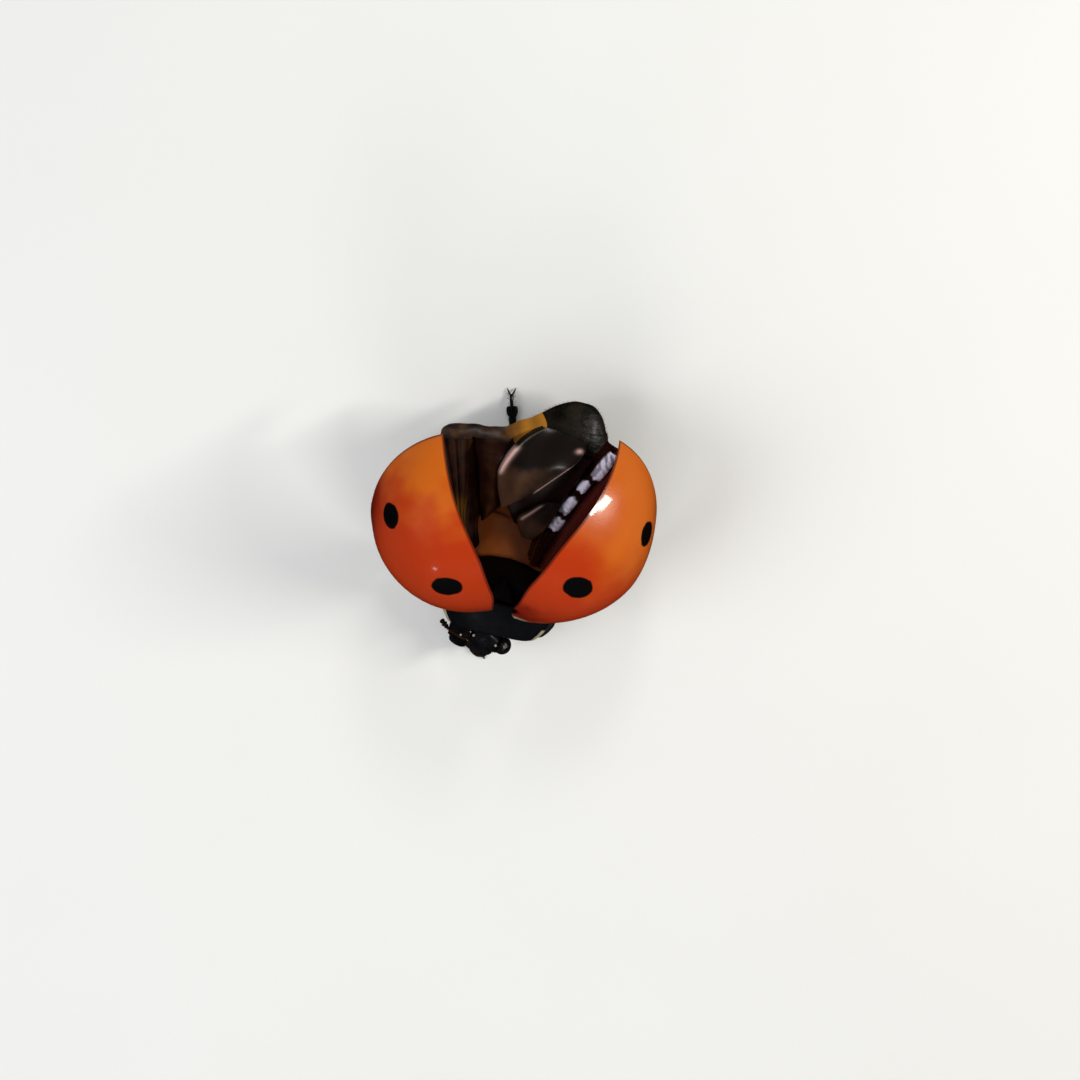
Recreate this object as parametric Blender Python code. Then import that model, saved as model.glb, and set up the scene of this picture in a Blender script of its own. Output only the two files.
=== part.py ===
"""A seven-spot ladybird, life size, standing with its wing cases raised for take-off.

Every length below is in millimetres, in a body frame whose origin is where the two closed
wing cases meet at the scutellum, at the height of their lower margins. The head is towards
-Y, the tail towards +Y, +X is the beetle's left side and +Z is up. The last function turns
the mesh into metres and stands the beetle on z = 0, centred on the origin.
"""

import math

import bmesh
import bpy
from mathutils import Matrix, Vector

METRES_PER_MM = 0.001
CUT = 0.04  # the thin cut between neighbouring parts
SIDES = {"left": 1.0, "right": -1.0}

# Stance
FLOOR = -1.5

# Wing cases: one closed case is a quarter of a dome
CASE_LENGTH = 5.6
CASE_HALF_WIDTH = 2.76
CASE_HEIGHT = 2.81
CASE_SECTION = 2.35  # exponent of the rounded cross-section
CASE_WIDEST = 0.453  # place of the greatest width, as a share of the length
CASE_HIGHEST = 0.42
CASE_BASE_WIDTH = 0.60  # share of the greatest width left at the shoulders
CASE_BASE_HEIGHT = 0.583
CASE_TAIL_WIDTH_POWER = 1.65
CASE_TAIL_HEIGHT_POWER = 2.02
CASE_THICKNESS = 0.5
SEAM_BOW = 0.30  # how far the middle of a case's seam bows over the middle of the back
NOTCH_WIDTH = 0.42  # corner rounded off each case beside the scutellum
NOTCH_LENGTH = 0.60
CASE_HINGE = Vector((1.0, 0.15, 0.95))
CASE_POSE = {  # swing outwards, lift of the tip, roll about the long axis, in degrees
    "left": (-22.8, 14.1, 13.4),
    "right": (27.5, 33.2, -0.1),
}
CASE_SHIFT = {"left": Vector((0.02, -0.02, 0.0)), "right": Vector((-0.12, -0.11, 0.02))}

# Fore body: pronotum and head turn together about the neck of the mesothorax
FORE_TURN = 2.0
FORE_PIVOT = Vector((-0.05, 0.12, 0.0))
HEAD_TURN = -13.0
NECK = Vector((0.0, -0.90, 0.0))
PRONOTUM_HALF_WIDTH = 1.52
PRONOTUM_FRONT_HALF_WIDTH = 1.16
PRONOTUM_HIND_HEIGHT = 1.22
PRONOTUM_FRONT_HEIGHT = 0.82
PRONOTUM_MARGIN = 0.05
PRONOTUM_EDGE = 0.16
PRONOTUM_FRONT = -0.90
PRONOTUM_HIND_BOW = 0.42
PRONOTUM_FRONT_BOW = 0.26
PRONOTUM_SECTION = 2.3
HEAD_REAR = -1.06
HEAD_WIDEST = -1.32
HEAD_BROW = -1.50  # from here the head narrows to the front
HEAD_FRONT = -1.83
HEAD_HALF_WIDTH = 0.50
HEAD_TOP = (0.70, 0.26)  # at the rear and at the front
HEAD_UNDERSIDE = (-0.34, -0.30)
EYE_CENTRE = Vector((0.54, -1.38, 0.37))
EYE_RADII = Vector((0.25, 0.25, 0.32))
LABRUM_END = -2.03
LABRUM_HALF_WIDTH = (0.30, 0.25)
LABRUM_HEIGHT = (-0.10, 0.14)
MANDIBLE_END = -1.99
MANDIBLE_PLACE = 0.15  # how far each stands from the middle
MANDIBLE_HALF_WIDTH = 0.12
MANDIBLE_HEIGHT = (-0.34, -0.15)
FEELER_RADIUS = 0.25
FEELERS = {  # base and tip: the left feeler hangs, the right one reaches sideways
    "left": (Vector((0.60, -1.64, -0.28)), Vector((0.73, -1.84, -0.92))),
    "right": (Vector((-0.66, -1.52, -0.22)), Vector((-1.00, -1.76, -0.12))),
}
PALP = (Vector((0.21, -1.50, -0.52)), Vector((0.30, -1.86, -0.74)))
PALP_RADIUS = 0.14

# Trunk
UNDERSIDE = -0.62
TRUNK_SECTION = 2.4
PROSTERNUM = (-0.90, -0.12)  # start and end along the body, front first
PROSTERNUM_HALF_WIDTH = 0.86
PROSTERNUM_SECTION = 3.0
MESOTHORAX = (0.26, 1.36)
MESOTHORAX_HALF_WIDTH = (1.00, 1.22)
MESOTHORAX_TOP = (0.94, 1.06)
MESOTHORAX_HIGHEST = 0.80
SCUTELLUM = (0.26, 0.80)
SCUTELLUM_HALF_WIDTH = (0.32, 0.05)
SCUTELLUM_HEIGHT = (1.10, 1.21)
METATHORAX = (1.40, 2.40)
METATHORAX_HALF_WIDTH = (1.26, 1.70)
METATHORAX_TOP = (1.04, 0.86)
ABDOMEN_CUTS = (2.44, 3.02, 3.58, 4.14, 4.70, 5.24, 5.92)
ABDOMEN_HALF_WIDTH = 1.90
ABDOMEN_TOP = 0.82
ABDOMEN_UNDERSIDE = -0.54
ABDOMEN_BEND = 0.60  # sideways lean of the abdomen to the left, near its rear third

# Folded hind wings: side lines from the hinge to the tip, inner line first
WING_THICKNESS = 0.5
WING_LINES = {
    "left": (
        (Vector((0.52, 1.46, 1.56)), Vector((0.62, 3.20, 1.48)), Vector((1.70, 5.16, 1.34))),
        (Vector((1.08, 1.42, 1.52)), Vector((1.76, 3.14, 1.58)), Vector((2.24, 4.92, 1.42))),
    ),
    "right": (
        (Vector((-0.46, 1.46, 1.56)), Vector((-0.30, 3.16, 1.38)), Vector((-0.04, 5.58, 0.98))),
        (Vector((-1.10, 1.42, 1.52)), Vector((-2.02, 3.00, 1.62)), Vector((-2.70, 4.46, 1.66))),
    ),
}
WING_DIP = 0.24  # how far the far edge of the right wing is hollowed
WING_FOLD = 0.72  # where the right tip folds over, as a share of the wing's length
FOLDED_TIP_LINES = (
    (Vector((-0.30, 2.48, 2.00)), Vector((-0.88, 3.78, 1.98)), Vector((-0.42, 4.74, 1.68))),
    (Vector((0.50, 2.36, 2.06)), Vector((0.90, 3.50, 2.08)), Vector((1.44, 4.60, 1.98))),
)

# Legs: root, hip, knee, ankle and toe, with x counted outwards from the middle of the body
JOINT_RADIUS = 0.23
LEG_PAIRS = ("front", "middle", "hind")
LEG_SWELL = {"coxa": 1.0, "femur": 1.3, "tibia": 1.05, "tarsus": 1.1}  # middle over joint radius
LEG_POINTS = {
    ("front", "left"): (
        (0.26, -0.42, -0.94), (0.72, -0.58, -0.98), (1.22, -1.16, -0.66),
        (1.58, -0.78, -1.20), (2.22, -0.34, -1.27),
    ),
    ("front", "right"): (
        (0.26, -0.42, -0.94), (0.70, -0.66, -0.98), (1.06, -1.76, -0.58),
        (0.60, -2.14, -1.20), (0.06, -2.34, -1.27),
    ),
    ("middle", "left"): (
        (0.30, 0.72, -0.92), (0.84, 0.78, -0.98), (1.96, 1.08, -0.72),
        (2.44, 1.34, -1.20), (3.24, 1.68, -1.27),
    ),
    ("middle", "right"): (
        (0.30, 0.72, -0.92), (0.84, 0.78, -0.98), (1.96, 1.14, -0.72),
        (2.44, 1.44, -1.20), (3.24, 1.88, -1.27),
    ),
    ("hind", "left"): (
        (0.34, 1.92, -0.92), (0.88, 2.00, -0.98), (1.80, 2.72, -0.80),
        (2.04, 3.36, -1.20), (2.38, 4.14, -1.27),
    ),
    ("hind", "right"): (
        (0.34, 1.92, -0.92), (0.88, 2.00, -0.98), (1.42, 3.12, -0.84),
        (0.86, 4.26, -1.20), (1.14, 5.24, -1.27),
    ),
}

LIMB_SIDES = 8
LIMB_RINGS = 5

# Colours as linear red, green, blue with roughness
FINISH = {
    "case": ((0.72, 0.13, 0.012), 0.22),
    "shell": ((0.012, 0.011, 0.012), 0.28),
    "thorax": ((0.16, 0.055, 0.018), 0.40),
    "wing": ((0.055, 0.012, 0.008), 0.25),
    "wing_tip": ((0.30, 0.13, 0.030), 0.30),
    "eye": ((0.010, 0.009, 0.009), 0.15),
    "leg": ((0.014, 0.011, 0.010), 0.35),
}


def share(value, low, high):
    """Where value lies between low and high, from 0 to 1."""
    return min(max((value - low) / (high - low), 0.0), 1.0)


def mix(start, end, amount):
    return start + (end - start) * amount


def signed_power(value, power):
    return math.copysign(abs(value) ** power, value)


def curve_point(line, amount):
    """A point on the quadratic curve through a line's start, middle and end."""
    start, middle, end = line
    handle = middle * 2.0 - (start + end) / 2.0
    return mix(mix(start, handle, amount), mix(handle, end, amount), amount)


def unit_tube(around, rings):
    """A closed tube of radius 1 along Z from 0 to 1."""
    mesh = bmesh.new()
    bmesh.ops.create_cone(mesh, cap_ends=True, segments=around, radius1=1, radius2=1, depth=1)
    bmesh.ops.translate(mesh, verts=mesh.verts, vec=(0.0, 0.0, 0.5))
    along = [edge for edge in mesh.edges if abs(edge.verts[0].co.z - edge.verts[1].co.z) > 0.5]
    bmesh.ops.subdivide_edges(mesh, edges=along, cuts=rings - 2, use_grid_fill=True)
    return mesh


def unit_sheet(across, along):
    """A flat sheet with x and y from 0 to 1."""
    mesh = bmesh.new()
    bmesh.ops.create_grid(mesh, x_segments=across, y_segments=along, size=0.5)
    bmesh.ops.translate(mesh, verts=mesh.verts, vec=(0.5, 0.5, 0.0))
    return mesh


def shape(mesh, place):
    """Move every vertex to where place sends it."""
    for vertex in mesh.verts:
        vertex.co = place(vertex.co.copy())


def finish(name, mesh, look, transform=Matrix()):
    """Turn a bmesh into a named object with its own material."""
    bmesh.ops.remove_doubles(mesh, verts=mesh.verts, dist=0.002)
    bmesh.ops.transform(mesh, matrix=transform, verts=mesh.verts)
    bmesh.ops.recalc_face_normals(mesh, faces=mesh.faces)
    if mesh.calc_volume(signed=True) < 0.0:
        bmesh.ops.reverse_faces(mesh, faces=mesh.faces)
    data = bpy.data.meshes.new(name)
    mesh.to_mesh(data)
    mesh.free()
    data.shade_smooth()
    data.set_sharp_from_angle(angle=math.radians(40.0))
    colour, roughness = FINISH[look]
    material = bpy.data.materials.new(name)
    material.use_nodes = True
    surface = material.node_tree.nodes["Principled BSDF"]
    surface.inputs["Base Color"].default_value = (*colour, 1.0)
    surface.inputs["Roughness"].default_value = roughness
    data.materials.append(material)
    part = bpy.data.objects.new(name, data)
    bpy.context.scene.collection.objects.link(part)
    return part


# ---------------------------------------------------------------- round bodies


def trunk_length(name, start, end, half_width, top, bottom, look, centre=lambda y: 0.0,
                 transform=Matrix(), around=20, rings=5, section=TRUNK_SECTION):
    """A length of the body between two cross cuts, its section a rounded oblong."""
    power = 2.0 / section

    def place(point):
        angle = math.atan2(point.y, point.x)
        y = mix(start, end, point.z)
        middle = mix(bottom(y), top(y), 0.4)
        height = top(y) - middle if point.y > 0 else middle - bottom(y)
        return Vector((
            centre(y) + half_width(y) * signed_power(math.cos(angle), power),
            y,
            middle + height * signed_power(math.sin(angle), power),
        ))

    mesh = unit_tube(around, rings)
    shape(mesh, place)
    return finish(name, mesh, look, transform)


def limb(name, start, end, radii, look, transform=Matrix(), mitres=(None, None), floor=None):
    """A tapering round length whose ends may be cut on a slant, to meet the next length."""
    direction = (end - start).normalized()
    side = direction.cross(Vector((0.0, 0.0, 1.0))).normalized()
    above = side.cross(direction)

    def slant(offset, mitre):
        return -offset.dot(mitre) / direction.dot(mitre) if mitre else 0.0

    def place(point):
        first, middle, last = radii
        t = point.z
        radius = mix(first, last, t) + (middle - (first + last) / 2.0) * 4.0 * t * (1.0 - t)
        offset = (side * point.x + above * point.y) * radius
        along = slant(offset, mitres[0]) * (1.0 - t) ** 2 + slant(offset, mitres[1]) * t ** 2
        there = mix(start, end, t) + offset + direction * along
        if floor is not None and point.y < -0.8:
            there.z = floor
        return there

    mesh = unit_tube(LIMB_SIDES, LIMB_RINGS)
    bmesh.ops.rotate(mesh, verts=mesh.verts, matrix=Matrix.Rotation(math.pi / LIMB_SIDES, 3, "Z"))
    shape(mesh, place)
    return finish(name, mesh, look, transform)


# ---------------------------------------------------------------- wing cases


def case_half_width(along):
    if along > CASE_WIDEST:
        tail = share(along, CASE_WIDEST, 1.0) ** CASE_TAIL_WIDTH_POWER
        return CASE_HALF_WIDTH * math.sqrt(1.0 - tail)
    return CASE_HALF_WIDTH * (1.0 - (1.0 - CASE_BASE_WIDTH) * (1.0 - along / CASE_WIDEST) ** 1.8)


def case_height(along):
    if along > CASE_HIGHEST:
        tail = share(along, CASE_HIGHEST, 1.0) ** CASE_TAIL_HEIGHT_POWER
        return CASE_HEIGHT * (1.0 - tail) ** (1.0 / 1.9)
    return CASE_HEIGHT * (1.0 - (1.0 - CASE_BASE_HEIGHT) * (1.0 - along / CASE_HIGHEST) ** 2.0)


def seam_bow(x, along):
    """How far a place on the closed left case is pushed over the middle of the back."""
    lengthwise = share(along, 0.10, 0.34) * (1.0 - share(along, 0.56, 0.95))
    return SEAM_BOW * lengthwise * share(x, 1.5, 0.0) ** 1.5


def case_point(across, along):
    """A point on the closed left case: across from seam to margin, along from base to tip."""
    power = 2.0 / CASE_SECTION
    width = case_half_width(along)
    notch = NOTCH_WIDTH * (1.0 - share(along * CASE_LENGTH, 0.0, NOTCH_LENGTH)) ** 1.5
    first = math.asin(min(notch / max(width, 0.01), 1.0) ** (1.0 / power))
    angle = mix(first, math.pi / 2, across)
    x = width * abs(math.sin(angle)) ** power
    return Vector((
        x - seam_bow(x, along),
        CASE_LENGTH * along,
        case_height(along) * abs(math.cos(angle)) ** power,
    ))


def case_transform(side):
    """The matrix that opens one case about its hinge."""
    swing, lift, roll = (math.radians(angle) for angle in CASE_POSE[side])
    turn = (
        Matrix.Rotation(swing, 4, "Z") @ Matrix.Rotation(lift, 4, "X") @ Matrix.Rotation(roll, 4, "Y")
    )
    mirror = Matrix.Diagonal((SIDES[side], 1.0, 1.0, 1.0))
    hinge = mirror @ CASE_HINGE
    there = Matrix.Translation(hinge + CASE_SHIFT[side])
    return there @ turn @ Matrix.Translation(-hinge) @ mirror


def make_case(side):
    mesh = unit_sheet(14, 22)
    shape(mesh, lambda point: case_point(point.x, 1.0 - (1.0 - point.y) ** 1.5))
    bmesh.ops.remove_doubles(mesh, verts=mesh.verts, dist=0.002)
    bmesh.ops.recalc_face_normals(mesh, faces=mesh.faces)
    if max(mesh.faces, key=lambda face: face.calc_center_median().z).normal.z < 0.0:
        bmesh.ops.reverse_faces(mesh, faces=mesh.faces)
    bmesh.ops.solidify(mesh, geom=mesh.faces[:], thickness=CASE_THICKNESS)
    return finish(f"wing_case_{side}", mesh, "case", case_transform(side))


# ---------------------------------------------------------------- hind wings


def wing_plate(name, lines, first, last, look, dip=0.0):
    """A plate between two side lines, from one share of their length to another."""

    def place(point):
        along = mix(first, last, point.y)
        there = mix(curve_point(lines[0], along), curve_point(lines[1], along), point.x)
        there.y -= dip * math.sin(math.pi * point.x) * along ** 3
        return there

    mesh = unit_sheet(5, 8)
    shape(mesh, place)
    bmesh.ops.recalc_face_normals(mesh, faces=mesh.faces)
    if mesh.faces[:][0].normal.z < 0.0:
        bmesh.ops.reverse_faces(mesh, faces=mesh.faces)
    bmesh.ops.solidify(mesh, geom=mesh.faces[:], thickness=WING_THICKNESS)
    return finish(name, mesh, look)


def make_hind_wings():
    gap = CUT / 4.0
    wing_plate("hindwing_left", WING_LINES["left"], 0.0, 1.0, "wing")
    wing_plate("hindwing_tip_left", FOLDED_TIP_LINES, 0.0, 1.0, "wing")
    wing_plate("hindwing_right", WING_LINES["right"], 0.0, WING_FOLD, "wing", dip=WING_DIP)
    wing_plate(
        "hindwing_tip_right", WING_LINES["right"], WING_FOLD + gap, 1.0, "wing_tip", dip=WING_DIP,
    )


# ---------------------------------------------------------------- fore body


def fore_transform():
    turn = Matrix.Rotation(math.radians(FORE_TURN), 4, "Z")
    return Matrix.Translation(FORE_PIVOT) @ turn


def head_transform():
    turn = Matrix.Rotation(math.radians(HEAD_TURN), 4, "Z")
    return fore_transform() @ Matrix.Translation(NECK) @ turn @ Matrix.Translation(-NECK)


def make_pronotum():
    """The neck shield: a low dome with a bowed rear edge and a hollowed front edge."""

    def place(point, top):
        across = point.x * 2.0 - 1.0
        x = across * mix(PRONOTUM_HALF_WIDTH, PRONOTUM_FRONT_HALF_WIDTH, point.y ** 2.2)
        rear = -PRONOTUM_HIND_BOW * across ** 2
        front = PRONOTUM_FRONT - PRONOTUM_FRONT_BOW * across ** 2
        y = mix(rear, front, point.y)
        height = mix(PRONOTUM_HIND_HEIGHT, PRONOTUM_FRONT_HEIGHT, point.y ** 1.4) - PRONOTUM_EDGE
        arch = max(1.0 - abs(across) ** PRONOTUM_SECTION, 0.0) ** (1.0 / PRONOTUM_SECTION)
        z = PRONOTUM_MARGIN + (PRONOTUM_EDGE + height * arch if top else 0.0)
        return Vector((x, y, z))

    mesh = unit_sheet(14, 7)
    lower = bmesh.ops.extrude_face_region(mesh, geom=mesh.faces[:], use_keep_orig=True)["geom"]
    lower_vertices = {item for item in lower if isinstance(item, bmesh.types.BMVert)}
    for vertex in mesh.verts:
        vertex.co = place(vertex.co.copy(), vertex not in lower_vertices)
    return finish("pronotum", mesh, "shell", fore_transform())


def head_half_width(y):
    rear = mix(0.56, 1.0, share(y, HEAD_REAR, HEAD_WIDEST))
    return HEAD_HALF_WIDTH * rear * (1.0 - 0.30 * share(y, HEAD_BROW, HEAD_FRONT) ** 2)


def make_head():
    frame = head_transform()
    trunk_length(
        "head", HEAD_REAR, HEAD_FRONT,
        head_half_width,
        lambda y: mix(*HEAD_TOP, share(y, HEAD_REAR, HEAD_FRONT) ** 1.5),
        lambda y: mix(*HEAD_UNDERSIDE, share(y, HEAD_REAR, HEAD_FRONT)),
        "shell", transform=frame, around=16, rings=6,
    )
    trunk_length(
        "labrum", HEAD_FRONT - CUT, LABRUM_END,
        lambda y: mix(*LABRUM_HALF_WIDTH, share(y, HEAD_FRONT, LABRUM_END)),
        lambda y: LABRUM_HEIGHT[1],
        lambda y: LABRUM_HEIGHT[0],
        "shell", transform=frame, around=12, rings=3,
    )
    for side, sign in SIDES.items():
        trunk_length(
            f"mandible_{side}", HEAD_FRONT - CUT, MANDIBLE_END,
            lambda y: MANDIBLE_HALF_WIDTH,
            lambda y: MANDIBLE_HEIGHT[1],
            lambda y: MANDIBLE_HEIGHT[0],
            "shell", centre=lambda y: sign * MANDIBLE_PLACE, transform=frame, around=8, rings=3,
        )
        mirror = Matrix.Diagonal((sign, 1.0, 1.0, 1.0))
        palp_radii = (PALP_RADIUS * 0.8, PALP_RADIUS * 0.9, PALP_RADIUS)
        limb(f"palp_{side}", *PALP, palp_radii, "leg", frame @ mirror)
        feeler_radii = (FEELER_RADIUS, FEELER_RADIUS, FEELER_RADIUS * 1.08)
        limb(f"feeler_{side}", *FEELERS[side], feeler_radii, "leg", frame)
        make_eye(side, frame @ mirror)


def make_eye(side, transform):
    """A domed eye whose flat back lies against the side of the head."""

    def place(point):
        bulge = math.sqrt(max(1.0 - point.z ** 2, 0.0))
        return EYE_CENTRE + Vector((
            EYE_RADII.x * point.z,
            EYE_RADII.y * bulge * point.x,
            EYE_RADII.z * bulge * point.y,
        ))

    mesh = unit_tube(14, 6)
    shape(mesh, lambda point: place(Vector((point.x, point.y, math.sin(point.z * math.pi / 2)))))
    return finish(f"eye_{side}", mesh, "eye", transform)


# ---------------------------------------------------------------- trunk


def make_thorax():
    trunk_length(
        "prosternum", *PROSTERNUM,
        lambda y: PROSTERNUM_HALF_WIDTH,
        lambda y: PRONOTUM_MARGIN - CUT,
        lambda y: UNDERSIDE,
        "shell", transform=fore_transform(), around=16, rings=4, section=PROSTERNUM_SECTION,
    )
    trunk_length(
        "mesothorax", *MESOTHORAX,
        lambda y: mix(*MESOTHORAX_HALF_WIDTH, share(y, *MESOTHORAX)),
        lambda y: mix(*MESOTHORAX_TOP, share(y, MESOTHORAX[0], MESOTHORAX_HIGHEST)),
        lambda y: UNDERSIDE,
        "shell", around=20, rings=5,
    )
    trunk_length(
        "scutellum", *SCUTELLUM,
        lambda y: mix(*SCUTELLUM_HALF_WIDTH, share(y, *SCUTELLUM)),
        lambda y: SCUTELLUM_HEIGHT[1],
        lambda y: SCUTELLUM_HEIGHT[0],
        "shell", around=10, rings=4,
    )
    trunk_length(
        "metathorax", *METATHORAX,
        lambda y: mix(*METATHORAX_HALF_WIDTH, share(y, *METATHORAX)),
        lambda y: mix(*METATHORAX_TOP, share(y, *METATHORAX)),
        lambda y: UNDERSIDE,
        "thorax", around=20, rings=5,
    )


def abdomen_taper(y, power, root):
    return (1.0 - share(y, ABDOMEN_CUTS[0] - 0.04, ABDOMEN_CUTS[-1] + 0.01) ** power) ** root


def make_abdomen():
    pairs = zip(ABDOMEN_CUTS[:-1], ABDOMEN_CUTS[1:])
    for index, (start, end) in enumerate(pairs, start=1):
        trunk_length(
            f"abdomen_{index}", start, end - CUT,
            lambda y: ABDOMEN_HALF_WIDTH * abdomen_taper(y, 1.6, 0.54),
            lambda y: ABDOMEN_TOP * abdomen_taper(y, 2.6, 0.55),
            lambda y: ABDOMEN_UNDERSIDE * abdomen_taper(y, 2.6, 0.55),
            "shell",
            centre=lambda y: ABDOMEN_BEND * max((y - 2.0) / 2.9, 0.0) ** 1.3,
            around=20, rings=4 if index < 6 else 6,
        )


# ---------------------------------------------------------------- legs


def make_leg(pair, side):
    """Four lengths of one leg, mitred where they meet, the last one flat on the floor."""
    mirror = Matrix.Diagonal((SIDES[side], 1.0, 1.0, 1.0))
    points = [Vector(point) for point in LEG_POINTS[pair, side]]
    ways = [(end - start).normalized() for start, end in zip(points[:-1], points[1:])]
    joints = zip(ways[:-1], ways[1:])
    mitres = [None, *((before + after).normalized() for before, after in joints), None]
    for index, (length, swell) in enumerate(LEG_SWELL.items()):
        way = ways[index]
        start = points[index] + way * CUT / 2.0
        end = points[index + 1] - way * CUT / 2.0
        limb(
            f"{pair}_{length}_{side}", start, end,
            (JOINT_RADIUS, JOINT_RADIUS * swell, JOINT_RADIUS), "leg", mirror,
            mitres=mitres[index:index + 2], floor=FLOOR if length == "tarsus" else None,
        )


# ---------------------------------------------------------------- whole beetle


def clear_scene():
    for item in list(bpy.data.objects):
        bpy.data.objects.remove(item, do_unlink=True)


def stand_on_floor():
    """Scale every mesh to metres and centre the beetle over the origin, feet on z = 0."""
    parts = [item for item in bpy.data.objects if item.type == "MESH"]
    corners = [vertex.co for part in parts for vertex in part.data.vertices]
    low = Vector(min(point[axis] for point in corners) for axis in range(3))
    high = Vector(max(point[axis] for point in corners) for axis in range(3))
    shift = Vector((-(low.x + high.x) / 2.0, -(low.y + high.y) / 2.0, -FLOOR))
    move = Matrix.Scale(METRES_PER_MM, 4) @ Matrix.Translation(shift)
    for part in parts:
        part.data.transform(move)
        part.data.update()


def main():
    clear_scene()
    make_pronotum()
    make_head()
    make_thorax()
    make_abdomen()
    make_hind_wings()
    for side in SIDES:
        make_case(side)
        for pair in LEG_PAIRS:
            make_leg(pair, side)
    stand_on_floor()


main()
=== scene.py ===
"""A seven-spot ladybird with its wing cases raised for take-off, dressed around its CAD frame.

Lengths are in millimetres in the body frame: the origin is where the two closed wing cases
meet at the scutellum, at the height of their lower margins. The head is towards -Y, the tail
towards +Y, +X is the beetle's left side and +Z is up. finish_piece() turns a finished mesh
into metres in the row frame.
"""

import math
import random

import bmesh
import bpy
from bpy.props import FloatProperty, FloatVectorProperty, IntProperty, PointerProperty
from mathutils import Matrix, Vector, kdtree, noise


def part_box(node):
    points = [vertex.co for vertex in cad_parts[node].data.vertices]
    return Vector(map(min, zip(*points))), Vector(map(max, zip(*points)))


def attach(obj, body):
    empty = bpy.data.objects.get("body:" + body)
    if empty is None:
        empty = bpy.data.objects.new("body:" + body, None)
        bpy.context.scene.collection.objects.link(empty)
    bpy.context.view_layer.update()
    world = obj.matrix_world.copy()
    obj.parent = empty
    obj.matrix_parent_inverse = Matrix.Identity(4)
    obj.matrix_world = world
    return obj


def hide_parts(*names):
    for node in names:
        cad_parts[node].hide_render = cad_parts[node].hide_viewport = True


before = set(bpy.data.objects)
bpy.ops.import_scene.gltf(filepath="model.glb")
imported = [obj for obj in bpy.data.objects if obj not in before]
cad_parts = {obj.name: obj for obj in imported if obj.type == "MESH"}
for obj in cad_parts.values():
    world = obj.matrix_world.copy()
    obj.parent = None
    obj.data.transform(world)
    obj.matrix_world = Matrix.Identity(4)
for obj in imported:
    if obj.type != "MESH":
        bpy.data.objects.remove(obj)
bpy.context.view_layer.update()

bl_info = {
    "name": "Seven-spot ladybird",
    "version": (1, 0, 0),
    "blender": (4, 5, 0),
    "location": "3D View > Sidebar > Ladybird",
    "description": "Builds a life-size ladybird about to take off, piece by piece",
    "category": "Object",
}

MM = 0.001
SIDES = {"left": 1.0, "right": -1.0}
UP = Vector((0.0, 0.0, 1.0))
POLE = 0.9999  # beyond this height a vertex of a ball of radius 1 counts as its pole

# The body frame in the row frame: the mesothorax starts at this y and the feet stand at FLOOR
MESOTHORAX_START = 0.26
FLOOR = -1.5

# Closed wing case, a quarter of a dome
CASE_LENGTH = 5.6
CASE_HALF_WIDTH = 2.76
CASE_HEIGHT = 2.81
CASE_SECTION = 2.35
CASE_WIDEST = 0.453
CASE_HIGHEST = 0.42
CASE_BASE_WIDTH = 0.60
CASE_BASE_HEIGHT = 0.583
CASE_BASE_WIDTH_POWER = 1.8
CASE_TAIL_WIDTH_POWER = 1.65
CASE_TAIL_HEIGHT_POWER = 2.02
CASE_TAIL_HEIGHT_ROOT = 1.0 / 1.9
SEAM_BOW = 0.30  # how far the middle of a seam bows over the middle of the back
NOTCH_WIDTH = 0.42
NOTCH_LENGTH = 0.60
CASE_HINGE = Vector((1.0, 0.15, 0.95))
CASE_POSE = {"left": (-22.8, 14.1, 13.4), "right": (27.5, 33.2, -0.1)}
CASE_SHIFT = {"left": Vector((0.02, -0.02, 0.0)), "right": Vector((-0.12, -0.11, 0.02))}
MARGIN_FOLD = 0.86  # share of a case's columns on the dome, the rest is the strip folded under
MARGIN_STRIP = 0.40  # width of that strip at its widest
# The two sides' settings differ by painted light and shade: the right case is painted lit and more
# orange, the left shaded and redder.
CASE_RED_AND_PAINTED_LIGHT = {  # where along a case its red begins and is full, how far that shifts by the seam,
    # and how deep the red gets at the base and by the margin
    "left": (4.4, 1.9, -1.1, 0.90, 0.50),
    "right": (5.5, 4.2, 0.2, 0.25, 0.85),
}
SPOTS = (  # share of the half width, share of the length and radius, the third by the shoulder
    (0.326, 0.458, 0.36),
    (0.683, 0.760, 0.36),
    (0.800, 0.235, 0.33),
    (0.000, 0.085, 0.24),
)
SPOT_WAVER = 0.09  # how far a spot's outline wanders at most
SPOT_EDGE = 0.025  # half the width of its soft edge

# Fore body
FORE_TURN = 2.0
FORE_PIVOT = Vector((-0.05, 0.12, 0.0))
HEAD_TURN = -13.0
NECK = Vector((0.0, -0.90, 0.0))
PRONOTUM_HALF_WIDTH = 1.52
PRONOTUM_FRONT_HALF_WIDTH = 1.16
PRONOTUM_FRONT = -1.08
PRONOTUM_FRONT_BOW = 0.08
PRONOTUM_HIND_BOW = 0.42
PRONOTUM_HIND_HEIGHT = 1.22
PRONOTUM_FRONT_HEIGHT = 0.84
HEAD_REAR = -1.02
HEAD_WIDEST = -1.32
HEAD_BROW = -1.50
HEAD_FRONT = -1.86
HEAD_HALF_WIDTH = 0.50
EYE_CENTRE = Vector((0.51, -1.37, 0.35))
EYE_RADII = Vector((0.24, 0.25, 0.31))
EYE_BACK = -0.35  # where an eye of radius 1 is cut off towards the head
EYE_BASE = 0.985  # its radius between the lenses
EYE_LENS = 0.075  # reach of one lens
EYE_LENS_RISE = 0.030

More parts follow.
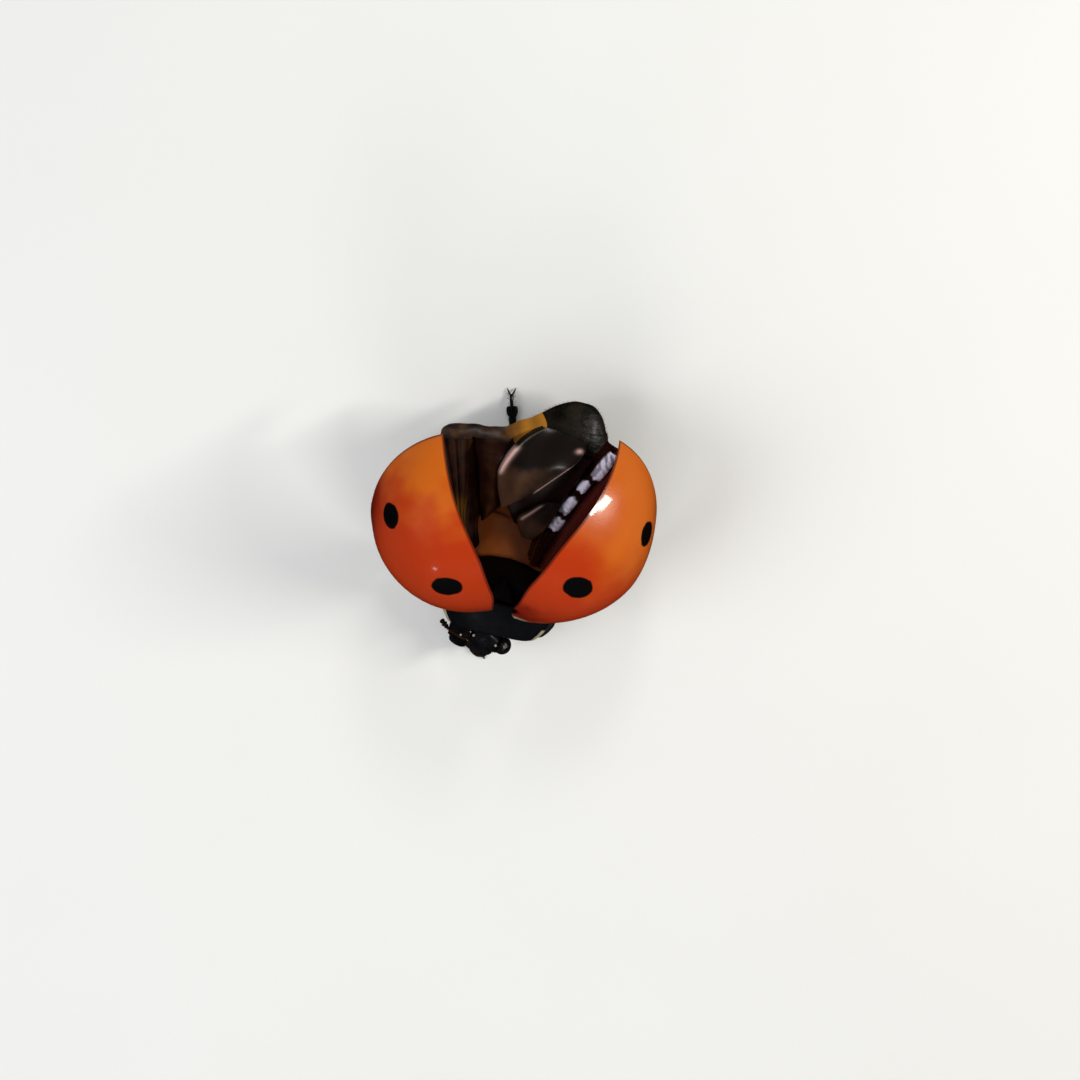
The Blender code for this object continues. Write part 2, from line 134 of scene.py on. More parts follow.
# Trunk
ABDOMEN_CUTS = (2.44, 3.02, 3.58, 4.14, 4.70, 5.24, 5.92)
ABDOMEN_HALF_WIDTH = 1.90
ABDOMEN_TOP = 0.82
ABDOMEN_UNDERSIDE = -0.54
ABDOMEN_BEND = 0.60
THORAX_UNDERSIDE = -0.62
PROSTERNUM_SPAN = (-0.98, -0.04)
MESOTHORAX_SPAN = (0.10, 1.385)
METATHORAX_SPAN = (1.36, 2.46)
BELT = 0.4  # share of a section's height at which the trunk is widest
TRUNK_POWER = 2.4  # exponent of the trunk's rounded section
TRUNK_COLUMNS = 72
FRONT_ROUNDING = 0.12  # share of a trunk piece's length that rounds off in front
REAR_ROUNDING = 0.07

# Legs: root, hip, knee, ankle and toe, with x counted outwards from the middle of the body
LEG_PAIRS = ("front", "middle", "hind")
LEG_POINTS = {
    ("front", "left"): (
        (0.26, -0.42, -0.94), (0.72, -0.58, -0.98), (1.22, -1.16, -0.66),
        (1.58, -0.78, -1.20), (2.22, -0.34, -1.27),
    ),
    ("front", "right"): (
        (0.26, -0.42, -0.94), (0.70, -0.66, -0.98), (1.06, -1.76, -0.58),
        (0.60, -2.14, -1.20), (0.06, -2.34, -1.27),
    ),
    ("middle", "left"): (
        (0.30, 0.72, -0.92), (0.84, 0.78, -0.98), (1.96, 1.08, -0.72),
        (2.44, 1.34, -1.20), (3.24, 1.68, -1.27),
    ),
    ("middle", "right"): (
        (0.30, 0.72, -0.92), (0.84, 0.78, -0.98), (1.96, 1.14, -0.72),
        (2.44, 1.44, -1.20), (3.24, 1.88, -1.27),
    ),
    ("hind", "left"): (
        (0.34, 1.92, -0.92), (0.88, 2.00, -0.98), (1.80, 2.72, -0.80),
        (2.04, 3.36, -1.20), (2.38, 4.14, -1.27),
    ),
    ("hind", "right"): (
        (0.34, 1.92, -0.92), (0.88, 2.00, -0.98), (1.42, 3.12, -0.84),
        (0.86, 4.26, -1.20), (1.14, 5.24, -1.27),
    ),
}

ANKLE_HEIGHT = 0.165  # above the floor, as are the next three
SOLE_HEIGHT = 0.085
TOE_HEIGHT = 0.10
CLAW_HEIGHT = 0.008

# View: directions of the camera in the body frame, and what it aims at
CAMERA_RIGHT = Vector((0.967, 0.2429, -0.0789))
CAMERA_BACK = Vector((0.0, 0.309, 0.951))
CAMERA_AIM = (1.065, 1.473, 1.2)  # along right, up and back
CAMERA_WIDTH = 29.56  # width of the view at the beetle
CAMERA_LENS = 180.0
SENSOR = 36.0
CAMERA_CLIP = (0.005, 10.0)  # metres
FLOOR_REACH = 0.6  # metres from the beetle to the floor's edges
BACKDROP_COLOUR = (0.86, 0.92, 1.0, 1.0)
BACKDROP_STRENGTH = 0.30
LAMP_AIM = Vector((0.0, 2.0, 1.5))
LAMPS = (  # name, place, width, height, watts, colour, roll in degrees, shown in reflections
    ("key", (60.0, 35.0, 54.0), 7.0, 36.0, 0.041, (1.0, 0.97, 0.92), 25.7, True),
    ("fill", (-46.0, -18.0, 56.0), 50.0, 50.0, 0.028, (0.92, 0.96, 1.0), 0.0, False),
    ("front", (20.0, -60.0, 40.0), 30.0, 20.0, 0.010, (1.0, 0.98, 0.95), 0.0, False),
    ("rim", (-6.0, 66.0, 46.0), 14.0, 14.0, 0.010, (1.0, 1.0, 1.0), 0.0, False),
    ("glint", (-13.7, -73.8, 41.6), 4.0, 4.0, 0.0006, (1.0, 1.0, 1.0), 0.0, True),
)


# ---------------------------------------------------------------- numbers and places


def share(value, low, high):
    """Where value lies between low and high, from 0 to 1."""
    return min(max((value - low) / (high - low), 0.0), 1.0)


def ease(value, low, high):
    """Like share, with a soft start and end."""
    part = share(value, low, high)
    return part * part * (3.0 - 2.0 * part)


def mix(start, end, amount):
    """The value or place that lies amount of the way from start to end."""
    return start + (end - start) * amount


def signed_power(value, power):
    """A power of a value's size, with its sign kept."""
    return math.copysign(abs(value) ** power, value)


def hump(value, middle, width):
    """A smooth hump of height 1."""
    return math.exp(-((value - middle) / width) ** 2)


def along_line(points, amount):
    """A place on the smooth line through points, or a value on one through numbers."""
    last = len(points) - 1
    place = min(max(amount, 0.0), 1.0) * last
    index = min(int(place), last - 1)
    t = place - index
    start, end = points[index], points[index + 1]
    before = points[index - 1] if index else start * 2.0 - end
    after = points[index + 2] if index + 2 <= last else end * 2.0 - start
    return 0.5 * (
        start * 2.0
        + (end - before) * t
        + (before * 2.0 - start * 5.0 + end * 4.0 - after) * t ** 2
        + (start * 3.0 - before - end * 3.0 + after) * t ** 3
    )


def rough(place, scale, amount):
    """A soft unevenness, the same each run."""
    return noise.noise(place * scale) * amount


def body_origin():
    """Where the body frame's origin lies in the row frame, in metres."""
    low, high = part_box("mesothorax")
    return Vector(((low.x + high.x) / 2.0, low.y - MESOTHORAX_START * MM, -FLOOR * MM))


def to_row():
    """The matrix from body millimetres to the row frame in metres."""
    return Matrix.Translation(body_origin()) @ Matrix.Scale(MM, 4)


def fore_frame():
    """The matrix that turns the pronotum on the mesothorax."""
    return Matrix.Translation(FORE_PIVOT) @ Matrix.Rotation(math.radians(FORE_TURN), 4, "Z")


def head_frame():
    """The matrix that turns the head with the pronotum and then about the neck."""
    turn = Matrix.Rotation(math.radians(HEAD_TURN), 4, "Z")
    return fore_frame() @ Matrix.Translation(NECK) @ turn @ Matrix.Translation(-NECK)


def mirrored(sign):
    """The matrix that swaps left and right when sign is -1."""
    return Matrix.Diagonal((sign, 1.0, 1.0, 1.0))


# ---------------------------------------------------------------- meshes


def new_sheet(columns, rows):
    """A flat sheet with x and y from 0 to 1."""
    mesh = bmesh.new()
    bmesh.ops.create_grid(mesh, x_segments=columns, y_segments=rows, size=0.5)
    bmesh.ops.translate(mesh, verts=mesh.verts, vec=(0.5, 0.5, 0.0))
    return mesh


def new_tube(around, rings):
    """A closed tube of radius 1 along Z from 0 to 1."""
    mesh = bmesh.new()
    bmesh.ops.create_cone(mesh, cap_ends=True, segments=around, radius1=1, radius2=1, depth=1)
    bmesh.ops.translate(mesh, verts=mesh.verts, vec=(0.0, 0.0, 0.5))
    lengthwise = [e for e in mesh.edges if abs(e.verts[0].co.z - e.verts[1].co.z) > 0.5]
    bmesh.ops.subdivide_edges(mesh, edges=lengthwise, cuts=rings - 2, use_grid_fill=True)
    return mesh


def shape(mesh, place):
    """Move every vertex to where place sends it."""
    for vertex in mesh.verts:
        vertex.co = place(vertex.co.copy())


def face_up(mesh):
    """Turn an open sheet's faces so that its highest ones look up."""
    bmesh.ops.recalc_face_normals(mesh, faces=mesh.faces)
    if sum(face.normal.z * face.calc_area() for face in mesh.faces) < 0.0:
        bmesh.ops.reverse_faces(mesh, faces=mesh.faces)


def add_spindle(mesh, points, radii, around=18, rings=18, flat=1.0, blunt=4.0, up=UP, material=0):
    """Add a closed rounded length that follows points, with half widths radii along it. flat is
    its height against its width, and a higher blunt makes its ends stubbier."""
    made = bmesh.ops.create_uvsphere(mesh, u_segments=around, v_segments=rings, radius=1.0)
    step = 0.01
    for vertex in made["verts"]:
        z = min(max(vertex.co.z, -1.0), 1.0)
        t = 0.5 + 0.5 * z
        way = along_line(points, min(t + step, 1.0)) - along_line(points, max(t - step, 0.0))
        side = way.cross(up).normalized()
        above = side.cross(way).normalized()
        angle = math.atan2(vertex.co.y, vertex.co.x)
        radius = along_line(radii, t) * (1.0 - abs(z) ** blunt) ** (1.0 / blunt)
        if abs(z) > POLE:
            radius = 0.0
        vertex.co = along_line(points, t) + (
            side * math.cos(angle) + above * (math.sin(angle) * flat)
        ) * radius
    faces = {face for vertex in made["verts"] for face in vertex.link_faces}
    for face in faces:
        face.material_index = material
    bmesh.ops.recalc_face_normals(mesh, faces=list(faces))


def add_ball(mesh, centre, radii, around=18, rings=12):
    """Add a closed ball with its own radius along each axis."""
    made = bmesh.ops.create_uvsphere(mesh, u_segments=around, v_segments=rings, radius=1.0)
    for vertex in made["verts"]:
        vertex.co = Vector(c + r * p for c, r, p in zip(centre, radii, vertex.co))


def give_wall(mesh, wall, edge, share_at=lambda place: 1.0):
    """Give an open sheet a wall on its inner side, rounded off over its last edge millimetres
    and thinned by share_at. Returns the faces of the lining."""
    mesh.normal_update()
    border = [vertex for vertex in mesh.verts if vertex.is_boundary]
    tree = kdtree.KDTree(len(border))
    for index, vertex in enumerate(border):
        tree.insert(vertex.co, index)
    tree.balance()
    inward = mesh.verts.layers.float_vector.new("inward")
    for vertex in mesh.verts:
        away = min(tree.find(vertex.co)[2] / edge, 1.0)
        rounding = 0.3 + 0.7 * math.sqrt(1.0 - (1.0 - away) ** 2)
        vertex[inward] = -vertex.normal * wall * rounding * share_at(vertex.co)
    made = bmesh.ops.extrude_face_region(mesh, geom=mesh.faces[:], use_keep_orig=True)["geom"]
    for item in made:
        if isinstance(item, bmesh.types.BMVert):
            item.co += item[inward]
    mesh.verts.layers.float_vector.remove(inward)
    bmesh.ops.recalc_face_normals(mesh, faces=mesh.faces)
    return [item for item in made if isinstance(item, bmesh.types.BMFace)]


def finish_piece(name, mesh, materials, nodes=(), turn=Matrix(), sharp=45.0):
    """Make a bmesh in body millimetres a piece of the beetle that rides on its body."""
    turn = to_row() @ turn
    bmesh.ops.transform(mesh, matrix=turn, verts=mesh.verts)
    if turn.determinant() < 0.0:
        bmesh.ops.reverse_faces(mesh, faces=mesh.faces)
    data = bpy.data.meshes.new(name)
    mesh.to_mesh(data)
    mesh.free()
    data.shade_smooth()
    data.set_sharp_from_angle(angle=math.radians(sharp))
    for material in materials:
        data.materials.append(material)
    piece = bpy.data.objects.new(name, data)
    bpy.context.scene.collection.objects.link(piece)
    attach(piece, "root")
    if nodes:
        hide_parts(*nodes)
    return piece


# ---------------------------------------------------------------- materials

GRIT_DEPTH = 0.004
USUAL_SETTINGS = {  # how these nodes are set unless a material says otherwise
    "Mix": {"data_type": "RGBA"},
    "MapRange": {"interpolation_type": "SMOOTHSTEP"},
    "Math": {"operation": "MULTIPLY"},
    "VectorMath": {"operation": "SCALE"},
}


def linear(code):
    """An sRGB hex colour as linear red, green and blue."""
    parts = (int(code[i:i + 2], 16) / 255.0 for i in (0, 2, 4))
    return tuple(p / 12.92 if p <= 0.04045 else ((p + 0.055) / 1.055) ** 2.4 for p in parts)


def add(tree, kind, inputs=None, **settings):
    """Add a shader node with its settings, and set or link its inputs."""
    node = tree.nodes.new("ShaderNode" + kind)
    for key, value in {**USUAL_SETTINGS.get(kind, {}), **settings}.items():
        setattr(node, key, value)
    for key, value in (inputs or {}).items():
        named = [socket for socket in node.inputs if socket.enabled and socket.name == key]
        join(tree, named[0] if named else node.inputs[key], value)
    return node


def join(tree, socket, value):
    """Link a node's first output or a socket to socket, or set it to a plain value."""
    if isinstance(value, bpy.types.Node):
        value = next(output for output in value.outputs if output.enabled)
    if isinstance(value, bpy.types.NodeSocket):
        tree.links.new(value, socket)
    elif socket.type == "RGBA" and len(value) == 3:
        socket.default_value = (*value, 1.0)
    else:
        socket.default_value = value


def new_material(name, surface, nodes=None):
    """A material with a Principled surface. nodes(tree) gives its linked sockets."""
    found = bpy.data.materials.get(name)
    if found:
        return found
    material = bpy.data.materials.new(name)
    material.use_nodes = True
    tree = material.node_tree
    shader = tree.nodes["Principled BSDF"]
    for key, value in {**surface, **(nodes(tree) if nodes else {})}.items():
        join(tree, shader.inputs[key], value)
    return material


def millimetres(tree):
    """A point's place in the row frame, in millimetres."""
    place = add(tree, "TexCoord").outputs["Object"]
    return add(tree, "VectorMath", {0: place, "Scale": 1.0 / MM})


def skin_relief(tree, place, pit_spacing, pit_width, pit_depth, swell_size, swell_depth):
    """The relief of cuticle: slow swells under fine round pits, all in millimetres."""
    swell = add(tree, "TexNoise", {"Vector": place, "Scale": 1.0 / swell_size})
    below = add(tree, "Bump", {"Height": swell, "Distance": swell_depth * MM})
    cells = add(tree, "TexVoronoi", {
        "Vector": place, "Scale": 1.0 / pit_spacing, "Randomness": 0.85,
    })
    pits = add(tree, "MapRange", {"Value": cells, "From Max": pit_width / pit_spacing})
    return add(tree, "Bump", {"Height": pits, "Distance": pit_depth * MM, "Normal": below})


def wing_case_material(side, sizes, colours):
    """Hard insect cuticle, grown smooth with fine punctures: a wet-looking red orange with black
    spots, redder towards the shoulders, and deep red at the base, by the seam and along the lower
    margin, partly its own colour and partly painted shade. Each side has its own copy, painted
    lighter or darker for the light that falls on it."""
    red_start, red_end, seam_shift, base_red_and_shade, margin_red_and_shade = CASE_RED_AND_PAINTED_LIGHT[side]

    def nodes(tree):
        place = add(tree, "Attribute", attribute_name="closed_place").outputs["Vector"]
        parts = add(tree, "SeparateXYZ", {"Vector": place})
        x, y, z = (parts.outputs[axis] for axis in "XYZ")
        cloudy = add(tree, "TexNoise", {"Vector": place, "Scale": 1.0 / 0.9})
        drift = add(tree, "MapRange", {"Value": cloudy, "To Min": -0.6, "To Max": 0.6})
        near_seam = add(tree, "MapRange", {"Value": x, "From Min": 1.5, "From Max": 0.4})
        leaning = add(tree, "Math", {0: near_seam, 1: seam_shift})
        along = add(tree, "Math", {0: y, 1: drift}, operation="ADD")
        place_of_red = add(tree, "Math", {0: along, 1: leaning}, operation="ADD")
        redness = add(tree, "MapRange", {
            "Value": place_of_red, "From Min": red_start, "From Max": red_end,
        })
        colour = add(tree, "Mix", {
            "Factor": redness, "A": colours.case_orange, "B": colours.case_red,
        })
        # deep red at the base, by the seam and along the lower margin: partly the case's own deeper
        # red, partly painted shade
        near_base = add(tree, "MapRange", {
            "Value": along, "From Min": 1.5, "From Max": 0.3, "To Max": base_red_and_shade,
        })
        margin = add(tree, "Math", {
            0: add(tree, "MapRange", {
                "Value": z, "From Min": 1.5, "From Max": 0.1, "To Max": margin_red_and_shade,
            }),
            1: add(tree, "MapRange", {"Value": y, "From Min": 5.0, "From Max": 3.8}),
        })
        depth = add(tree, "Math", {
            0: add(tree, "Math", {0: near_base, 1: near_seam}), 1: margin,
        }, operation="MAXIMUM")
        colour = add(tree, "Mix", {"Factor": depth, "A": colour, "B": colours.case_deep_red_and_shade})
        rim = add(tree, "Math", {
            0: add(tree, "MapRange", {"Value": z, "From Min": 0.09, "From Max": 0.02}),
            1: add(tree, "MapRange", {"Value": x, "From Min": 0.07, "From Max": 0.02}),
        }, operation="MAXIMUM")
        rim = add(tree, "Math", {0: rim, 1: 0.8})
        colour = add(tree, "Mix", {"Factor": rim, "A": colour, "B": colours.case_rim})
        front = add(tree, "MapRange", {
            "Value": y, "From Min": 0.24, "From Max": 0.08, "To Max": 0.8,
        })
        inner = add(tree, "MapRange", {"Value": x, "From Min": 1.0, "From Max": 0.6})
        pale = add(tree, "Math", {0: front, 1: inner})
        colour = add(tree, "Mix", {"Factor": pale, "A": colour, "B": colours.pale_patch})
        # the noise lies about a half on each axis, so the centres are moved by half the waver
        wobble = add(tree, "TexNoise", {"Vector": place, "Scale": 4.0}).outputs["Color"]
        moved = add(tree, "VectorMath", {
            0: place, 1: add(tree, "VectorMath", {0: wobble, "Scale": SPOT_WAVER}),
        }, operation="ADD")
        spots = None
        for x_share, y_share, radius in SPOTS:
            centre = spot_centre(x_share, y_share) + Vector((SPOT_WAVER / 2.0,) * 3)
            away = add(tree, "VectorMath", {0: moved, 1: centre}, operation="DISTANCE")
            radius *= sizes.spot_scale
            spot = add(tree, "MapRange", {
                "Value": away.outputs["Value"],
                "From Min": radius + SPOT_EDGE, "From Max": radius - SPOT_EDGE,
            })
            spots = add(tree, "Math", {0: spot, 1: spots}, operation="MAXIMUM") if spots else spot
        colour = add(tree, "Mix", {"Factor": spots, "A": colour, "B": colours.spot_black})
        return {
            "Base Color": colour,
            "Roughness": add(tree, "MapRange", {
                "Value": cloudy, "To Min": 0.28, "To Max": 0.38,
            }),
            "Normal": skin_relief(
                tree, place, sizes.pit_spacing / MM, pit_width=0.030, pit_depth=0.0022,
                swell_size=0.60, swell_depth=0.008,
            ),
        }

    # each side gets its own copy, painted lighter or darker for how the light falls on it
    return new_material(f"wing case cuticle {side}", {
        "IOR": 1.50, "Specular IOR Level": 0.40,
        "Coat Weight": 0.45, "Coat Roughness": 0.07, "Coat IOR": 1.5,
    }, nodes)


def case_lining_material(colours):
    """The inside of a wing case: the same cuticle unpolished, duller, with a fine net of
    ridges."""

    def nodes(tree):
        place = add(tree, "Attribute", attribute_name="closed_place").outputs["Vector"]
        cloudy = add(tree, "TexNoise", {"Vector": place, "Scale": 1.0 / 0.5})
        colour = add(tree, "Mix", {
            "Factor": cloudy, "A": colours.case_lining, "B": colours.case_deep_red_and_shade,
        })
        net = add(tree, "TexVoronoi", {"Vector": place, "Scale": 1.0 / 0.12},
                  feature="DISTANCE_TO_EDGE")
        return {
            "Base Color": colour,
            "Normal": add(tree, "Bump", {"Height": net, "Distance": 0.006 * MM}),
        }

    return new_material("wing case lining", {"Roughness": 0.45, "IOR": 1.5}, nodes)


def black_material(name, dark, pale, roughness, coat, pit_spacing=0.08):
    """Black hardened cuticle with fine pits: near black, with a soft blue-grey shine."""

    def nodes(tree):
        place = millimetres(tree)
        cloudy = add(tree, "TexNoise", {"Vector": place, "Scale": 1.0 / 0.35})
        return {
            "Base Color": add(tree, "Mix", {"Factor": cloudy, "A": dark, "B": pale}),
            "Roughness": add(tree, "MapRange", {
                "Value": cloudy, "To Min": roughness - 0.06, "To Max": roughness + 0.08,
            }),
            "Normal": skin_relief(
                tree, place, pit_spacing, pit_width=0.03, pit_depth=0.004,
                swell_size=0.25, swell_depth=0.012,
            ),
        }

    return new_material(name, {
        "IOR": 1.56, "Coat Weight": coat, "Coat Roughness": 0.18,
    }, nodes)


def pronotum_material(colours):
    """The neck shield: the same black cuticle with a small ivory patch in each front corner."""

    def nodes(tree):
        place = millimetres(tree)
        parts = add(tree, "SeparateXYZ", {
            "Vector": add(tree, "Attribute", attribute_name="shield_place").outputs["Vector"],
        })
        uneven = add(tree, "MapRange", {
            "Value": add(tree, "TexNoise", {"Vector": place, "Scale": 1.0 / 0.22}),
            "To Min": -0.014, "To Max": 0.014,
        })
        across = add(tree, "Math", {
            0: add(tree, "Math", {0: parts.outputs["X"]}, operation="ABSOLUTE"), 1: uneven,
        }, operation="ADD")
        along = add(tree, "Math", {0: parts.outputs["Y"], 1: uneven}, operation="ADD")
        patch = add(tree, "Math", {
            0: add(tree, "MapRange", {"Value": across, "From Min": 0.920, "From Max": 0.945}),
            1: add(tree, "MapRange", {"Value": along, "From Min": 0.42, "From Max": 0.50}),
        })
        cloudy = add(tree, "TexNoise", {"Vector": place, "Scale": 1.0 / 0.3})
        black = add(tree, "Mix", {
            "Factor": cloudy, "A": colours.shell_black, "B": colours.shell_sheen,
        })
        ivory = add(tree, "Mix", {
            "Factor": cloudy, "A": colours.pale_patch, "B": colours.pale_shade,
        })
        return {
            "Base Color": add(tree, "Mix", {"Factor": patch, "A": black, "B": ivory}),
            "Normal": skin_relief(
                tree, place, pit_spacing=0.075, pit_width=0.032, pit_depth=0.0025,
                swell_size=0.30, swell_depth=0.010,
            ),
        }

    return new_material("pronotum cuticle", {
        "Roughness": 0.42, "IOR": 1.5, "Coat Weight": 0.25, "Coat Roughness": 0.22,
    }, nodes)


def mottled_material(name, dark, pale, patch, surface, grain=None):
    """A finish that drifts between two tones in patches, with a fine grain if it has one. The
    patches and the grain are in millimetres."""

    def nodes(tree):
        place = millimetres(tree)
        cloudy = add(tree, "TexNoise", {"Vector": place, "Scale": 1.0 / patch})
        linked = {"Base Color": add(tree, "Mix", {"Factor": cloudy, "A": dark, "B": pale})}
        if grain:
            grit = add(tree, "TexNoise", {"Vector": place, "Scale": 1.0 / grain})
            linked["Normal"] = add(tree, "Bump", {"Height": grit, "Distance": GRIT_DEPTH * MM})
        return linked

    return new_material(name, surface, nodes)


def eye_material(colours):
    """Compound eye: hard clear lenses over dark pigment, a glossy black bead with soft shine."""
    return mottled_material("compound eye", colours.eye_black, colours.eye_brown, 0.12, {
        "Roughness": 0.20, "IOR": 1.5, "Coat Weight": 0.8, "Coat Roughness": 0.08,
    })


def brown_material(name, dark, pale, roughness):
    """Thin brown cuticle, as on feelers, mouthparts and claws: amber where it is thin."""
    return mottled_material(name, dark, pale, 0.16, {
        "Roughness": roughness, "IOR": 1.55, "Coat Weight": 0.3, "Coat Roughness": 0.2,
    }, grain=0.03)


def abdomen_material(colours):
    """Soft leathery cuticle of the abdomen: black-olive with a fine scaly grain, amber where
    it is thin at the waist, and brown between the rings."""

    def nodes(tree):
        place = millimetres(tree)
        cloudy = add(tree, "TexNoise", {"Vector": place, "Scale": 1.0 / 0.6, "Detail": 3.0})
        cloudy = add(tree, "MapRange", {"Value": cloudy, "From Min": 0.35, "From Max": 0.65})
        tone = add(tree, "Mix", {
            "Factor": cloudy, "A": colours.abdomen_dark, "B": colours.abdomen_olive,
        })
        amber = add(tree, "Mix", {
            "Factor": cloudy, "A": colours.band_amber, "B": colours.band_brown,
        })
        waist = add(tree, "Attribute", attribute_name="waist").outputs["Fac"]
        tone = add(tree, "Mix", {"Factor": waist, "A": tone, "B": amber})
        seam = add(tree, "Attribute", attribute_name="seam").outputs["Fac"]
        seam = add(tree, "Math", {0: seam, 1: 0.7})
        tone = add(tree, "Mix", {"Factor": seam, "A": tone, "B": colours.seam_brown})
        stretched = add(tree, "VectorMath", {0: place, 1: (1.0, 2.2, 1.0)},
                        operation="MULTIPLY")
        wrinkles = add(tree, "TexNoise", {
            "Vector": stretched, "Scale": 1.0 / 0.30, "Detail": 4.0,
        })
        below = add(tree, "Bump", {"Height": wrinkles, "Distance": 0.045 * MM})
        scales = add(tree, "TexVoronoi", {"Vector": stretched, "Scale": 1.0 / 0.06})
        return {
            "Base Color": tone,
            "Normal": add(tree, "Bump", {
                "Height": scales, "Distance": 0.003 * MM, "Normal": below,
            }),
        }

    return new_material("abdomen cuticle", {
        "Roughness": 0.48, "IOR": 1.5, "Specular IOR Level": 0.35,
        "Coat Weight": 0.06, "Coat Roughness": 0.20,
    }, nodes)


def metathorax_material(colours):
    """Thin tan cuticle over flight muscle: warm amber brown, smooth, waxy."""

    def nodes(tree):
        place = millimetres(tree)
        cloudy = add(tree, "TexNoise", {"Vector": place, "Scale": 1.0 / 0.6})
        tone = add(tree, "Mix", {
            "Factor": cloudy, "A": colours.back_brown, "B": colours.back_amber,
        })
        dark = add(tree, "Attribute", attribute_name="seam").outputs["Fac"]
        soft = add(tree, "TexNoise", {"Vector": place, "Scale": 1.0 / 0.12})
        return {
            "Base Color": add(tree, "Mix", {
                "Factor": dark, "A": tone, "B": colours.seam_brown,
            }),
            "Normal": add(tree, "Bump", {"Height": soft, "Distance": 0.008 * MM}),
        }

    return new_material("metathorax cuticle", {
        "Roughness": 0.45, "IOR": 1.45, "Coat Weight": 0.15, "Coat Roughness": 0.25,
    }, nodes)


def membrane_material(name, dark, pale, vein_and_highlight, alpha=1.0, roughness=0.32, coat=0.5, crease=0.010,
                      gloss=0.5):
    """Wing membrane: a dry film of chitin, folded and creased, brown and glossy. Its colour runs
    from dark to pale with the leaf's fold mask, and turns to a third colour where its second mask
    is set: on veins that is their own colour, on folds and ridges it is a painted highlight."""

    def nodes(tree):
        place = millimetres(tree)
        fold = add(tree, "Attribute", attribute_name="fold").outputs["Fac"]
        # ridge is the mask of veins in their own colour and of painted highlights on folds and
        # ridges
        ridge = add(tree, "Attribute", attribute_name="vein_and_highlight").outputs["Fac"]
        uneven = add(tree, "MapRange", {
            "Value": add(tree, "TexNoise", {"Vector": place, "Scale": 1.0 / 0.35}),
            "To Min": -0.22, "To Max": 0.22,
        })
        amount = add(tree, "MapRange", {
            "Value": add(tree, "Math", {0: fold, 1: uneven}, operation="ADD"),
        })
        tone = add(tree, "Mix", {"Factor": amount, "A": dark, "B": pale})
        tone = add(tree, "Mix", {"Factor": ridge, "A": tone, "B": vein_and_highlight})
        stretched = add(tree, "VectorMath", {0: place, 1: (1.0, 0.4, 1.0)},
                        operation="MULTIPLY")
        creases = add(tree, "TexNoise", {"Vector": stretched, "Scale": 1.0 / 0.11})
        below = add(tree, "Bump", {"Height": creases, "Distance": crease * MM})
        net = add(tree, "TexVoronoi", {"Vector": place, "Scale": 1.0 / 0.14},
                  feature="DISTANCE_TO_EDGE")
        return {
            "Base Color": tone,
            "Normal": add(tree, "Bump", {
                "Height": net, "Distance": 0.002 * MM, "Normal": below,
            }),
        }

    return new_material(name, {
        "Roughness": roughness, "IOR": 1.5, "Specular IOR Level": gloss,
        "Coat Weight": coat, "Coat Roughness": 0.12, "Alpha": alpha,
    }, nodes)


def hair_material(colours):
    """Insect hair: a fine solid bristle of brown chitin."""
    return mottled_material("bristle", colours.hair_brown, colours.hair_pale, 0.05, {
        "Roughness": 0.45, "IOR": 1.55,
    })


def floor_material(colours):
    """Matt card: a plain pale ground."""
    return mottled_material("matt card", colours.floor_pale, colours.floor_shade, 9.0, {
        "Roughness": 0.85,
    }, grain=0.25)


def mouth_material(colours):
    """Brown cuticle of the mouthparts, darker where it is thick."""
    return brown_material("mouth cuticle", colours.mouth_dark, colours.mouth_brown, 0.35)


def leg_material(colours):
    """Black cuticle of the legs, closely pitted and a little glossier."""
    return black_material("leg cuticle", colours.leg_black, colours.shell_sheen,
                          roughness=0.38, coat=0.25, pit_spacing=0.06)


def shell_material(colours):
    """Black cuticle of the head and the underside."""
    return black_material("black cuticle", colours.shell_black, colours.shell_sheen,
                          roughness=0.42, coat=0.2)


def matt_material(colours):
    """Black cuticle of the middle back, hidden in life and left dull."""
    return black_material("matt black cuticle", colours.shell_black, colours.shell_black,
                          roughness=0.62, coat=0.0)


# ---------------------------------------------------------------- wing cases


def case_half_width(along):
    """From the seam to the margin of a closed case, at a share of its length."""
    if along > CASE_WIDEST:
        tail = share(along, CASE_WIDEST, 1.0) ** CASE_TAIL_WIDTH_POWER
        return CASE_HALF_WIDTH * math.sqrt(1.0 - tail)
    base = (1.0 - along / CASE_WIDEST) ** CASE_BASE_WIDTH_POWER
    return CASE_HALF_WIDTH * (1.0 - (1.0 - CASE_BASE_WIDTH) * base)


def case_height(along):
    """From the margin up to the seam of a closed case, at a share of its length."""
    if along > CASE_HIGHEST:
        tail = share(along, CASE_HIGHEST, 1.0) ** CASE_TAIL_HEIGHT_POWER
        return CASE_HEIGHT * (1.0 - tail) ** CASE_TAIL_HEIGHT_ROOT
    return CASE_HEIGHT * (1.0 - (1.0 - CASE_BASE_HEIGHT) * (1.0 - along / CASE_HIGHEST) ** 2.0)


def case_point(across, along):
    """A point on the closed left case: across from seam to margin, along from base to tip."""
    power = 2.0 / CASE_SECTION
    width = case_half_width(along)
    notch = NOTCH_WIDTH * (1.0 - share(along * CASE_LENGTH, 0.0, NOTCH_LENGTH)) ** 1.5
    first = math.asin(min(notch / max(width, 0.01), 1.0) ** (1.0 / power))
    angle = mix(first, math.pi / 2, across)
    return Vector((
        width * abs(math.sin(angle)) ** power,
        CASE_LENGTH * along,
        case_height(along) * abs(math.cos(angle)) ** power,
    ))


def seam_bow(place):
    """How far a place on the closed left case is pushed over the middle of the back."""
    along = place.y / CASE_LENGTH
    lengthwise = ease(along, 0.08, 0.36) * (1.0 - ease(along, 0.54, 0.97))
    return SEAM_BOW * lengthwise * share(place.x, 1.5, 0.0) ** 1.5


